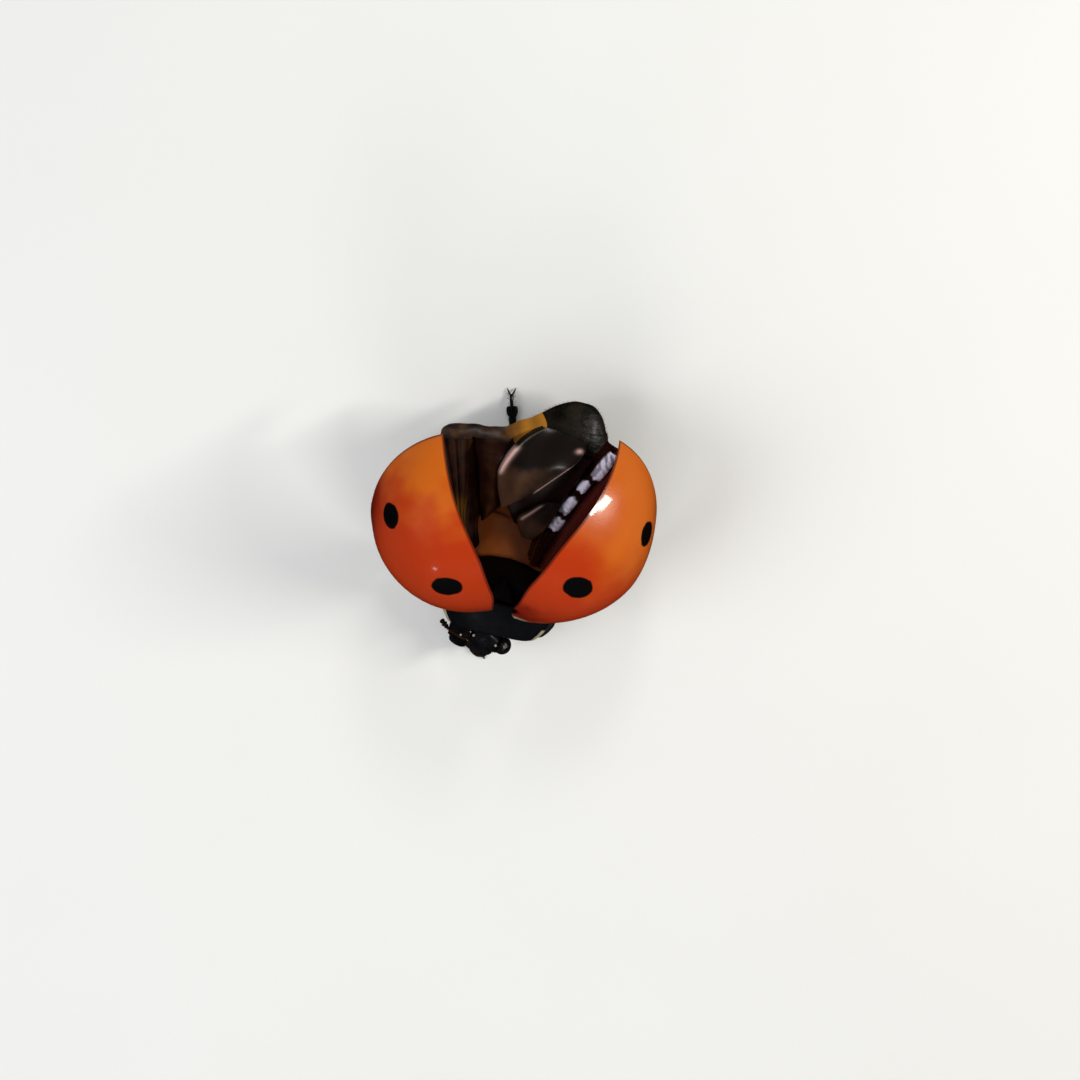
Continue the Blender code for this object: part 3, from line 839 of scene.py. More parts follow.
def spot_centre(x_share, y_share):
    """The point of the closed case under a place in its top view."""
    x, width = x_share * CASE_HALF_WIDTH, case_half_width(y_share)
    power = 2.0 / CASE_SECTION
    angle = math.asin(min(x / width, 1.0) ** (1.0 / power))
    return Vector((x, CASE_LENGTH * y_share, case_height(y_share) * math.cos(angle) ** power))


def case_skin(column, row):
    """The outside of a case: its dome, then the strip folded under along the margin."""
    along = 1.0 - (1.0 - row) ** 1.5
    if column <= MARGIN_FOLD:
        across = column / MARGIN_FOLD
        point = case_point(across, along)
        lip = 0.015 * ease(across, 0.95, 1.0) * (1.0 - along) ** 0.4
        bead = 0.03 * (1.0 - ease(across, 0.0, 0.05))
        return point + Vector((lip, 0.0, bead * (1.0 - along)))
    inward = (column - MARGIN_FOLD) / (1.0 - MARGIN_FOLD)
    margin = case_skin(MARGIN_FOLD, row)
    strip = MARGIN_STRIP * (1.0 - along) ** 0.7 * mix(0.10, 1.0, ease(along, 0.0, 0.16))
    strip = min(max(strip, margin.x * 0.3), margin.x * 0.6)
    return margin + Vector((-strip * inward, 0.0, 0.0))


def case_frame(side):
    """The matrix that opens one case about its hinge."""
    swing, lift, roll = (math.radians(angle) for angle in CASE_POSE[side])
    turn = (
        Matrix.Rotation(swing, 4, "Z") @ Matrix.Rotation(lift, 4, "X")
        @ Matrix.Rotation(roll, 4, "Y")
    )
    mirror = mirrored(SIDES[side])
    hinge = mirror @ CASE_HINGE
    there = Matrix.Translation(hinge + CASE_SHIFT[side])
    return there @ turn @ Matrix.Translation(-hinge) @ mirror


def tip_thinning(place):
    """The wall's share of its full thickness, less where the case narrows to its tip."""
    return min(case_half_width(min(place.y / CASE_LENGTH, 1.0)) / 0.7, 1.0) ** 1.3


def make_wing_case(side, sizes, colours):
    """One raised wing case: a thin spotted shell with a duller lining."""
    mesh = new_sheet(88, 96)
    shape(mesh, lambda point: case_skin(point.x, point.y))
    bmesh.ops.remove_doubles(mesh, verts=mesh.verts, dist=0.0008)
    bmesh.ops.dissolve_degenerate(mesh, edges=mesh.edges, dist=0.0002)
    face_up(mesh)
    layer = mesh.verts.layers.float_vector.new("closed_place")
    for vertex in mesh.verts:
        vertex[layer] = vertex.co
        vertex.co.x -= seam_bow(vertex.co)
    for face in give_wall(mesh, sizes.case_wall / MM, edge=0.09, share_at=tip_thinning):
        face.material_index = 1
    materials = [wing_case_material(side, sizes, colours), case_lining_material(colours)]
    finish_piece(f"wing_case_shell_{side}", mesh, materials,
                 [f"wing_case_{side}"], case_frame(side))


# ---------------------------------------------------------------- hind wings


def add_leaf(mesh, inner, outer, relief_at, marks_at, columns=36, rows=64, wall=0.03, material=0):
    """Add a thin leaf of folded membrane between two side lines.

    relief_at(across, along) lifts it, and marks_at gives its fold mask and its mask of veins and
    painted highlights."""
    leaf = new_sheet(columns, rows)
    fold = leaf.verts.layers.float.new("fold")
    vein_and_highlight = leaf.verts.layers.float.new("vein_and_highlight")
    for vertex in leaf.verts:
        across, along = vertex.co.x, vertex.co.y
        vertex.co = mix(along_line(inner, along), along_line(outer, along), across)
        vertex.co.z += relief_at(across, along)
        vertex[fold], vertex[vein_and_highlight] = marks_at(across, along)
    for face in leaf.faces:
        face.material_index = material
    face_up(leaf)
    give_wall(leaf, wall, edge=0.04)
    join_mesh(mesh, leaf)


def join_mesh(mesh, other):
    """Put a finished bmesh into another and free it."""
    data = bpy.data.meshes.new("joined")
    other.to_mesh(data)
    other.free()
    mesh.from_mesh(data)
    bpy.data.meshes.remove(data)


def new_leaf_mesh():
    """An empty mesh with the colour masks of wing membrane."""
    mesh = bmesh.new()
    mesh.verts.layers.float.new("fold")
    mesh.verts.layers.float.new("vein_and_highlight")
    return mesh


def curled(across, depth, width=0.08):
    """How far a leaf's rolled side edges drop."""
    first = 1.0 - ease(across, 0.0, width)
    second = 1.0 - ease(across, 1.0, 1.0 - width)
    return -depth * max(first, second)


def line(*rows):
    """Rows of coordinates as places."""
    return [Vector(row) for row in rows]


ROOT_INNER = line(
    (0.80, 0.45, 0.80), (0.95, 1.20, 0.95), (1.30, 2.00, 1.10), (1.55, 2.80, 1.15),
    (1.75, 3.60, 1.15),
)
ROOT_OUTER = line(
    (1.35, 0.40, 0.62), (1.62, 1.15, 0.80), (1.92, 2.00, 0.95), (2.12, 2.80, 1.00),
    (2.20, 3.60, 1.05),
)

# The left wing's stout front edge, with four pillows between its creases, each carrying a pale
# painted highlight
COSTA_INNER = line(
    (0.52, 1.50, 1.40), (0.58, 2.20, 1.50), (0.80, 3.00, 1.56), (1.12, 3.80, 1.56),
    (1.50, 4.55, 1.50), (1.84, 5.22, 1.36),
)
COSTA_OUTER = line(
    (1.16, 1.44, 1.42), (1.52, 2.20, 1.52), (1.80, 2.95, 1.57), (2.06, 3.70, 1.58),
    (2.28, 4.40, 1.52), (2.46, 5.02, 1.40),
)
# start and end along the edge, and the share of its width
COSTA_PILLOWS = (
    (0.315, 0.430, 0.42), (0.445, 0.600, 0.37), (0.630, 0.735, 0.36), (0.745, 1.04, 0.54),
)
TUBE_START = 0.40  # where across the edge the smooth tube beside the pillows begins


def pillow(across, along):
    """How far up a pillow a place is, from 0 in a crease to 1 on top."""
    place = along + 0.05 * (across - 0.25) + 0.006 * math.sin(30.0 * across)
    for start, end, width in COSTA_PILLOWS:
        if start < place < end:
            lengthwise = math.sin(math.pi * share(place, start, end)) ** 0.5
            return lengthwise * math.sin(math.pi * share(across, 0.0, width)) ** 0.5
    return 0.0


def costa_relief(across, along):
    """A ridge puckered into pillows, a groove, and a smooth tube behind it."""
    start = mix(TUBE_START, 0.55, ease(along, 0.70, 0.80))
    tube = 0.13 * math.sin(math.pi * share(across, start, 1.0)) ** 0.6
    ridge = 0.10 * math.sin(math.pi * share(across, 0.0, start)) ** 0.6
    started = ease(along, 0.22, 0.32)
    wave = 0.014 * math.sin(170.0 * along + 9.0 * across) * pillow(across, along)
    puckers = (0.10 * pillow(across, along) + wave) * started
    return ridge + tube + puckers + curled(across, 0.20, 0.05)


def costa_marks(across, along):
    """Maroon on the tube, and painted highlight streaks on the pillows."""
    painted_highlight = ease(pillow(across, along), 0.34, 0.62)
    streak = noise.noise(Vector((along * 34.0 + across * 6.0, across * 4.0, 1.0)))
    painted_highlight *= mix(0.35, 1.0, ease(streak, -0.30, 0.10))
    return 0.9 * ease(across, TUBE_START - 0.02, TUBE_START + 0.18), painted_highlight


def add_wing_root(mesh, sign):
    """The dark soft leaf that ties a wing's base to the side of the thorax."""
    inner = [mirrored(sign) @ point for point in ROOT_INNER]
    outer = [mirrored(sign) @ point for point in ROOT_OUTER]
    if sign < 0.0:
        inner, outer = outer, inner
    add_leaf(
        mesh, inner, outer,
        lambda s, t: 0.03 * math.sin(9.0 * s + 7.0 * t) + curled(s, 0.05),
        lambda s, t: (0.15 * s, 0.0), 16, 50,
    )


def make_left_wing(colours):
    """The beetle's left hind wing, folded back along its stout puckered front edge."""
    mesh = new_leaf_mesh()
    add_wing_root(mesh, 1.0)
    add_leaf(mesh, COSTA_INNER, COSTA_OUTER, costa_relief, costa_marks, 56, 170, wall=0.05)
    for step in (1.0, 2.0):
        shift = Vector((-0.05, 0.05, -0.17)) * step
        add_leaf(
            mesh, [p + shift for p in COSTA_INNER], [p + shift for p in COSTA_OUTER],
            lambda s, t: 0.03 * math.sin(6.0 * s + 4.0 * t + step) + curled(s, 0.10),
            lambda s, t: (0.3 * t, 0.0), 20, 60,
        )
    # the lavender third colour is a painted highlight on the pillows
    finish_piece("wing_fold_left", mesh, [membrane_material(
        "costal membrane", colours.wing_black, colours.wing_maroon, colours.wing_lavender_highlight,
        roughness=0.26, coat=0.6, crease=0.004,
    )], ["hindwing_left"])


# The right wing: side lines of its stretched part, and of the clear end folded under
OUTER_RIGHT = line(
    (-1.10, 1.44, 1.42), (-1.58, 2.20, 1.56), (-1.98, 2.95, 1.62), (-2.36, 3.72, 1.66),
    (-2.70, 4.44, 1.66),
)
INNER_RIGHT = line(
    (-1.02, 1.56, 1.24), (-1.20, 2.30, 1.30), (-0.76, 2.96, 1.34), (-0.36, 3.90, 1.28),
    (-0.10, 4.70, 1.14),
)
TIP_OUTER = line((-2.64, 4.26, 1.56), (-2.68, 4.64, 1.58), (-2.52, 4.82, 1.50))
TIP_INNER = line(
    (-0.16, 4.52, 1.06), (0.06, 4.98, 1.06), (0.04, 5.34, 1.00), (-0.16, 5.62, 0.94),
)
VEINS = ((0.975, 0.016), (0.90, 0.020), (0.80, 0.022), (0.69, 0.018))  # place across and width


def right_relief(across, along):
    """Wide and narrow folds with the veins standing on them."""
    wide_fold = 0.09 * math.sin(7.5 * across + 0.8) * ease(along, 0.10, 0.45)
    narrow_fold = 0.018 * math.sin(24.0 * across + 5.0 * along) * ease(along, 0.2, 0.6)
    veins = sum(0.05 * hump(across, place, width) for place, width in VEINS)
    return wide_fold + narrow_fold + veins + curled(across, 0.12, 0.04)


def right_marks(across, along):
    """Olive between the veins by the front edge, fading to black."""
    veins = max(hump(across, place, width * 1.3) for place, width in VEINS)
    fade = 1.0 - ease(along, 0.34, 0.54)
    olive = ease(across, 0.60, 0.72) * fade
    return 0.85 * olive + 0.25 * ease(along, 0.0, 0.2), veins * fade * 0.75


def make_right_wing(colours):
    """The beetle's right hind wing, half opened: ribbed at its front edge, dark beyond."""
    mesh = new_leaf_mesh()
    add_wing_root(mesh, -1.0)
    add_leaf(mesh, INNER_RIGHT, OUTER_RIGHT, right_relief, right_marks, 90, 90)
    shift = Vector((0.10, 0.02, -0.16))
    add_leaf(
        mesh, [p + shift for p in INNER_RIGHT], [p + shift for p in OUTER_RIGHT],
        lambda s, t: 0.05 * math.sin(6.0 * s + 3.0 * t) + curled(s, 0.06),
        lambda s, t: (0.2, 0.0), 30, 50,
    )
    # a second fold that stands over the first one
    upper_outer = line(
        (-1.04, 2.36, 1.50), (-1.26, 3.00, 1.68), (-1.52, 3.90, 1.80), (-1.86, 4.60, 1.76),
    )
    upper_inner = line(
        (-0.82, 2.62, 1.44), (-0.52, 3.10, 1.54), (-0.46, 4.10, 1.58), (-0.70, 4.80, 1.52),
    )
    add_leaf(
        mesh, upper_inner, upper_outer,
        lambda s, t: 0.16 * math.sin(math.pi * s) + 0.012 * math.sin(11.0 * s + 6.0 * t)
        + curled(s, 0.14, 0.08) - 0.3 * ease(t, 0.80, 1.0),
        lambda s, t: (0.35 * hump(s, 0.55, 0.25), 0.0), 40, 60,
    )
    finish_piece("wing_fold_right", mesh, [membrane_material(
        "ribbed membrane", colours.wing_black, colours.wing_brown, colours.wing_gold,
        alpha=0.97, roughness=0.50, coat=0.0, gloss=0.12,
    )], ["hindwing_right"])

    tip = new_leaf_mesh()
    add_leaf(
        tip, TIP_INNER, TIP_OUTER,
        lambda s, t: 0.05 * math.sin(8.0 * s + 3.0 * t) + 0.015 * math.sin(23.0 * s + 4.0 * t) * t
        - 0.16 * math.sin(math.pi * s) * t ** 2,
        lambda s, t: (1.1 - ease(s, 0.06, 0.44), 0.5 * hump(s, 0.10, 0.05) * ease(t, 0.2, 0.8)),
        90, 46,
    )
    for vertex in tip.verts:
        across = share(vertex.co.x, 0.0, -2.6)
        reach = ease(vertex.co.y, 4.5, 5.4)
        vertex.co.y -= 0.30 * math.sin(math.pi * across) * reach
        vertex.co.y += (0.04 * math.sin(across * 11.0) + 0.02 * math.sin(across * 29.0)) * reach
    finish_piece("wing_tip_fold_right", tip, [membrane_material(
        "clear amber membrane", colours.wing_black, colours.wing_amber, colours.wing_gold,
        alpha=0.90, roughness=0.55, coat=0.0,
    )], ["hindwing_tip_right"])


def make_folded_tip(colours):
    """The left wing's outer half, doubled back over the abdomen in glossy overlapping leaves."""
    mesh = new_leaf_mesh()
    # the lowest leaf, which closes the gap to the abdomen
    add_leaf(
        mesh,
        line((-0.20, 2.62, 1.60), (-0.60, 3.20, 1.66), (-0.80, 3.80, 1.66), (-0.52, 4.86, 1.30)),
        line((0.52, 2.42, 1.70), (0.84, 3.05, 1.74), (1.14, 3.75, 1.74), (1.56, 4.80, 1.46)),
        lambda s, t: 0.02 * math.sin(9.0 * s + 5.0 * t) + curled(s, 0.20, 0.06),
        lambda s, t: (0.0, 0.0), 40, 60, material=1,
    )

    # the large smoky leaf: a turned crease on its left and a fine edge on its right, both pale with
    # a painted highlight
    def upper_relief(s, t):
        """The leaf's swell and folds, its crease and edge, and its drop over the abdomen."""
        crease = 0.06 * hump(s, 0.055, 0.030) * ease(t, 0.36, 0.52)
        edge = 0.05 * hump(s, 0.97, 0.016)
        swell = 0.10 * math.sin(math.pi * s) * math.sin(math.pi * t) ** 0.6
        folds = 0.05 * math.sin(7.0 * s - 5.0 * t + 0.6) + 0.025 * math.sin(15.0 * s + 6.0 * t)
        drop = -0.95 * ease(t, 0.46, 1.05) ** 1.3 * mix(0.8, 1.0, s)
        return crease + edge + swell + folds * ease(t, 0.0, 0.3) + drop + curled(s, 0.13, 0.03)

    def upper_marks(s, t):
        """Brown towards the crease, and a pale painted highlight on the crease, the edge and the
        tucked end.
        """
        crease = hump(s, 0.055, 0.050) * ease(t, 0.38, 0.48) * (1.0 - ease(t, 0.68, 0.74))
        edge = hump(s, 0.972, 0.016) * ease(t, 0.08, 0.18) * (1.0 - ease(t, 0.52, 0.60))
        tuck = hump(s, 0.90, 0.05) * hump(t, 0.84, 0.035)
        brown = (1.0 - 0.7 * ease(s, 0.25, 0.85)) * (1.0 - 1.2 * ease(t, 0.36, 0.66))
        return brown, max(crease, 0.9 * edge, 0.9 * tuck)

    add_leaf(
        mesh,
        line((-0.60, 2.96, 1.80), (-0.86, 3.56, 1.92), (-0.94, 4.10, 1.96), (-0.62, 4.82, 1.92),
             (-0.10, 5.30, 1.80)),
        line((0.02, 3.50, 1.98), (0.42, 3.94, 2.04), (0.92, 4.52, 2.04), (1.20, 4.84, 1.96),
             (1.30, 5.10, 1.86)),
        upper_relief, upper_marks, 84, 100,
    )

    # the small leaf by the wing's base, with a turned fold that carries a pale painted highlight
    add_leaf(
        mesh,
        line((0.10, 2.34, 1.80), (-0.10, 2.80, 1.90), (0.16, 3.14, 1.94), (0.52, 3.50, 1.92)),
        line((0.46, 2.32, 1.84), (0.70, 2.66, 1.92), (0.86, 3.04, 1.96), (1.02, 3.60, 1.92)),
        lambda s, t: 0.07 * math.sin(math.pi * s) + 0.06 * hump(s, 0.10, 0.05) * ease(t, 0.3, 0.5)
        - 0.05 * hump(s, 0.45, 0.14) * hump(t, 0.6, 0.3) + curled(s, 0.12, 0.05),
        lambda s, t: (
            0.75 * hump(t, 0.25, 0.35),
            0.8 * hump(s, 0.13, 0.055) * ease(t, 0.34, 0.44) * (1.0 - ease(t, 0.84, 0.95)),
        ), 48, 60,
    )
    finish_piece("wing_tip_fold_left", mesh, [
        membrane_material(
            "smoky membrane", colours.wing_smoke, colours.wing_olive, colours.wing_pink_highlight,
            roughness=0.48, coat=0.05,
        ),
        membrane_material(
            "dark under membrane", colours.wing_black, colours.wing_maroon, colours.wing_maroon,
            roughness=0.60, coat=0.0,
        ),
    ], ["hindwing_tip_left"])


# ---------------------------------------------------------------- fore body


def make_pronotum(colours):
    """The neck shield, a thin dome with a rolled border along its sides."""
    mesh = new_sheet(72, 40)
    layer = mesh.verts.layers.float_vector.new("shield_place")
    for vertex in mesh.verts:
        across, along = vertex.co.x * 2.0 - 1.0, vertex.co.y
        across = math.copysign(abs(across) ** 0.8, across)
        x = across * mix(PRONOTUM_HALF_WIDTH, PRONOTUM_FRONT_HALF_WIDTH, along ** 2.2)
        rear = -PRONOTUM_HIND_BOW * across ** 2
        front = PRONOTUM_FRONT - PRONOTUM_FRONT_BOW * across ** 2
        height = mix(PRONOTUM_HIND_HEIGHT, PRONOTUM_FRONT_HEIGHT, along ** 1.4) - 0.10
        arch = max(1.0 - abs(across) ** 2.3, 0.0) ** (1.0 / 2.3)
        bead = 0.035 * hump(abs(across), 0.985, 0.018)
        turned = 0.05 * (1.0 - ease(along, 0.0, 0.05)) + 0.06 * ease(along, 0.95, 1.0)
        point = Vector((x, mix(rear, front, along), 0.15 + height * arch - turned))
        point.x += math.copysign(bead, across)
        point.z += bead + rough(point, 2.5, 0.015) * arch
        vertex[layer] = (across, along, 0.0)
        vertex.co = point
    face_up(mesh)
    give_wall(mesh, wall=0.09, edge=0.06)
    finish_piece("pronotum_shield", mesh, [pronotum_material(colours)],
                 ["pronotum"], fore_frame())


def head_section(y):
    """Half width, top and underside of the head at a place along it."""
    forward = share(y, HEAD_REAR, HEAD_FRONT)
    rear = mix(0.60, 1.0, share(y, HEAD_REAR, HEAD_WIDEST))
    width = HEAD_HALF_WIDTH * rear * (1.0 - 0.26 * share(y, HEAD_BROW, HEAD_FRONT) ** 2)
    return width, mix(0.68, 0.30, forward ** 1.5), mix(-0.34, -0.30, forward)


def head_point(angle, z):
    """A point of the head capsule: angle round its long axis, z from -1 in front to 1 behind."""
    y = mix(HEAD_FRONT, HEAD_REAR, 0.5 + 0.5 * z)
    width, top, bottom = head_section(y)
    cap = (1.0 - abs(z) ** 3.4) ** (1.0 / 2.6)
    middle = mix(bottom, top, 0.42)
    height = (top - middle) if math.sin(angle) > 0.0 else (middle - bottom)
    power = 2.0 / 2.5
    point = Vector((
        width * cap * signed_power(math.cos(angle), power),
        y,
        middle + height * cap * signed_power(math.sin(angle), power),
    ))
    brow = 0.035 * hump(abs(point.x), 0.38, 0.09) * ease(point.z, 0.1, 0.5)
    dent = 0.05 * hump(abs(point.x), 0.22, 0.09) * hump(y, -1.66, 0.10)
    point.z += (brow - dent) * (1.0 if point.z > 0.0 else 0.0)
    return point


def make_head(colours):
    """The head capsule with its brow ledge, pale marks and cheeks, and the lip before it."""
    mesh = bmesh.new()
    bmesh.ops.create_uvsphere(mesh, u_segments=72, v_segments=56, radius=1.0)
    for vertex in mesh.verts:
        z = min(max(vertex.co.z, -1.0), 1.0)
        z = z if abs(z) < POLE else math.copysign(1.0, z)
        vertex.co = head_point(math.atan2(vertex.co.y, vertex.co.x), z)
    bmesh.ops.recalc_face_normals(mesh, faces=mesh.faces)
    # clypeus, the ledge over the mouth
    add_spindle(mesh, line((-0.31, -1.77, 0.08), (0.0, -1.87, 0.10), (0.31, -1.77, 0.08)),
                [0.09, 0.12, 0.13, 0.12, 0.09], 24, 28, flat=0.75)
    for sign in SIDES.values():
        # pale mark beside the eye
        add_spindle(mesh, line((sign * 0.335, -1.36, 0.535), (sign * 0.34, -1.45, 0.505)),
                    [0.032, 0.040, 0.032], 16, 12, flat=0.45, blunt=2.0, material=1)
        # cheek plate and feeler socket
        add_spindle(mesh, line((sign * 0.45, -1.34, -0.02), (sign * 0.40, -1.62, -0.06)),
                    [0.10, 0.13, 0.09], 18, 14)
        add_ball(mesh, (sign * 0.39, -1.70, 0.02), (0.085, 0.075, 0.085))
    finish_piece("head_capsule", mesh, [shell_material(colours), brown_material(
        "pale head mark", colours.pale_patch, colours.pale_shade, 0.35,
    )], ["head"], head_frame())

    lip = bmesh.new()
    add_spindle(lip, line((-0.25, -1.93, -0.01), (0.0, -1.99, 0.0), (0.25, -1.93, -0.01)),
                [0.07, 0.10, 0.115, 0.10, 0.07], 22, 26, flat=0.8)
    finish_piece("labrum_plate", lip, [mouth_material(colours)], ["labrum"],
                 head_frame())


def make_eye(side, colours):
    """A compound eye: a bead covered in small domed lenses, one on each corner of a coarser
    ball, and notched in front by the cheek."""
    lenses = bmesh.new()
    bmesh.ops.create_icosphere(lenses, subdivisions=4, radius=1.0)
    tree = kdtree.KDTree(len(lenses.verts))
    for index, vertex in enumerate(lenses.verts):
        tree.insert(vertex.co, index)
    tree.balance()
    lenses.free()
    mesh = bmesh.new()
    bmesh.ops.create_icosphere(mesh, subdivisions=6, radius=1.0)
    whole = mesh.verts[:] + mesh.edges[:] + mesh.faces[:]
    bmesh.ops.bisect_plane(mesh, geom=whole, plane_co=(EYE_BACK, 0.0, 0.0),
                           plane_no=(-1.0, 0.0, 0.0), clear_outer=True)
    rim = [edge for edge in mesh.edges if edge.is_boundary]
    bmesh.ops.holes_fill(mesh, edges=rim, sides=0)
    for vertex in mesh.verts:
        away = tree.find(vertex.co)[2]
        bulge = EYE_LENS_RISE * (1.0 - min(away / EYE_LENS, 1.0) ** 2)
        spread = vertex.co * (EYE_BASE + bulge)
        notch = 0.16 * hump(spread.y, -0.9, 0.35) * hump(spread.z, -0.1, 0.30)
        vertex.co = EYE_CENTRE + Vector((
            EYE_RADII.x * (spread.x - notch * 0.6),
            EYE_RADII.y * (spread.y + notch),
            EYE_RADII.z * spread.z,
        ))
    bmesh.ops.recalc_face_normals(mesh, faces=mesh.faces)
    finish_piece(f"compound_eye_{side}", mesh, [eye_material(colours)], [f"eye_{side}"],
                 head_frame() @ mirrored(SIDES[side]), sharp=80.0)


FEELER_LINES = {
    "left": line(
        (0.42, -1.73, -0.02), (0.58, -1.70, -0.24), (0.68, -1.74, -0.62), (0.72, -1.88, -1.02),
    ),
    "right": line(
        (-0.42, -1.74, 0.00), (-0.68, -1.80, -0.04), (-1.00, -1.74, -0.06), (-1.30, -1.58, -0.02),
    ),
}
FEELER_LENGTHS = (0.20, 0.12, 0.17, 0.10, 0.09, 0.08, 0.075, 0.085, 0.11, 0.12, 0.14)
FEELER_RADII = (0.070, 0.056, 0.040, 0.036, 0.036, 0.037, 0.040, 0.048, 0.070, 0.086, 0.078)
FIRST_OF_CLUB = 8  # the segments from here on form the club


def make_feeler(side, colours):
    """Eleven segments: a stout first one, a thin stalk and a three-part club."""
    mesh = bmesh.new()
    whole = sum(FEELER_LENGTHS)
    begin = 0.0
    for index, (length, radius) in enumerate(zip(FEELER_LENGTHS, FEELER_RADII)):
        end = begin + length
        middle = [along_line(FEELER_LINES[side], (begin + length * part) / whole)
                  for part in (-0.06, 0.5, 1.03)]
        add_spindle(mesh, middle, [radius * 0.62, radius * 0.95, radius * 1.05], 16, 14,
                    blunt=3.0, material=1 if index >= FIRST_OF_CLUB else 0)
        begin = end
    finish_piece(f"antenna_{side}", mesh, [
        brown_material("feeler cuticle", colours.feeler_brown, colours.mouth_brown, 0.38),
        brown_material("feeler club", colours.mouth_dark, colours.feeler_brown, 0.42),
    ], [f"feeler_{side}"], head_frame())


def make_mouthparts(side, colours):
    """One toothed jaw, and one palp with an axe-shaped last segment."""
    turn = head_frame() @ mirrored(SIDES[side])
    jaw = bmesh.new()
    hook = line((0.24, -1.74, -0.20), (0.26, -1.90, -0.24), (0.15, -2.00, -0.27),
                (0.03, -1.98, -0.28))
    add_spindle(jaw, hook, [0.11, 0.105, 0.075, 0.03], 18, 20, flat=0.8)
    tooth = line((0.16, -1.95, -0.22), (0.08, -1.98, -0.22), (0.03, -1.96, -0.22))
    add_spindle(jaw, tooth, [0.05, 0.035, 0.015], 12, 12)
    finish_piece(f"mandible_hook_{side}", jaw, [mouth_material(colours)],
                 [f"mandible_{side}"], turn)

    palp = bmesh.new()
    first = line((0.20, -1.46, -0.30), (0.24, -1.52, -0.42))
    add_spindle(palp, first, [0.05, 0.06, 0.055], 14, 12)
    second = line((0.24, -1.50, -0.41), (0.30, -1.58, -0.54), (0.31, -1.68, -0.62))
    add_spindle(palp, second, [0.045, 0.065, 0.055], 14, 14)
    third = line((0.31, -1.66, -0.61), (0.31, -1.74, -0.655))
    add_spindle(palp, third, [0.05, 0.062, 0.055], 14, 12)
    axe = line((0.31, -1.72, -0.65), (0.30, -1.86, -0.70), (0.28, -1.97, -0.72))
    add_spindle(palp, axe, [0.055, 0.10, 0.15, 0.15], 20, 20, flat=0.42, blunt=7.0,
                up=Vector((1.0, 0.0, 0.2)))
    inner = line((0.09, -1.66, -0.29), (0.10, -1.76, -0.38), (0.11, -1.86, -0.42))
    add_spindle(palp, inner, [0.035, 0.045, 0.040, 0.025], 12, 14)
    finish_piece(f"palp_segments_{side}", palp, [mouth_material(colours)],
                 [f"palp_{side}"], turn)


# ---------------------------------------------------------------- trunk


def trunk_mesh(start, end, section, relief_at, centre=lambda y: 0.0, rings=24, lip=0.07,
               power=TRUNK_POWER):
    """A closed length of the body. section(y) gives half width, top and underside, and
    relief_at(angle, along) swells it."""
    mesh = new_tube(TRUNK_COLUMNS, rings)
    seam = mesh.verts.layers.float.new("seam")
    mesh.verts.layers.float.new("waist")
    exponent = 2.0 / power
    for vertex in mesh.verts:
        along = vertex.co.z
        angle = math.atan2(vertex.co.y, vertex.co.x)
        y = mix(start, end, along)
        width, top, bottom = section(y)
        middle = mix(bottom, top, BELT)
        height = top - middle if math.sin(angle) > 0.0 else middle - bottom
        front_edge = max(1.0 - along / FRONT_ROUNDING, 0.0)
        rear_edge = max(1.0 - (1.0 - along) / REAR_ROUNDING, 0.0)
        inset = lip * (front_edge ** 2 + rear_edge ** 2)
        swell = 1.0 - inset + relief_at(angle, along)
        vertex.co = Vector((
            centre(y) + width * swell * signed_power(math.cos(angle), exponent),
            y,
            middle + height * swell * signed_power(math.sin(angle), exponent),
        ))
        vertex[seam] = max(1.0 - ease(along, 0.0, 0.16), ease(along, 0.90, 1.0))
    bmesh.ops.recalc_face_normals(mesh, faces=mesh.faces)
    return mesh


def bow_seam(mesh):
    """Curve the joint between the black and the brown back plates forwards at the sides."""
    for vertex in mesh.verts:
        aside = min((vertex.co.x / 0.85) ** 2, 1.0)
        vertex.co.y -= 0.22 * aside * hump(vertex.co.y, 1.37, 0.45)


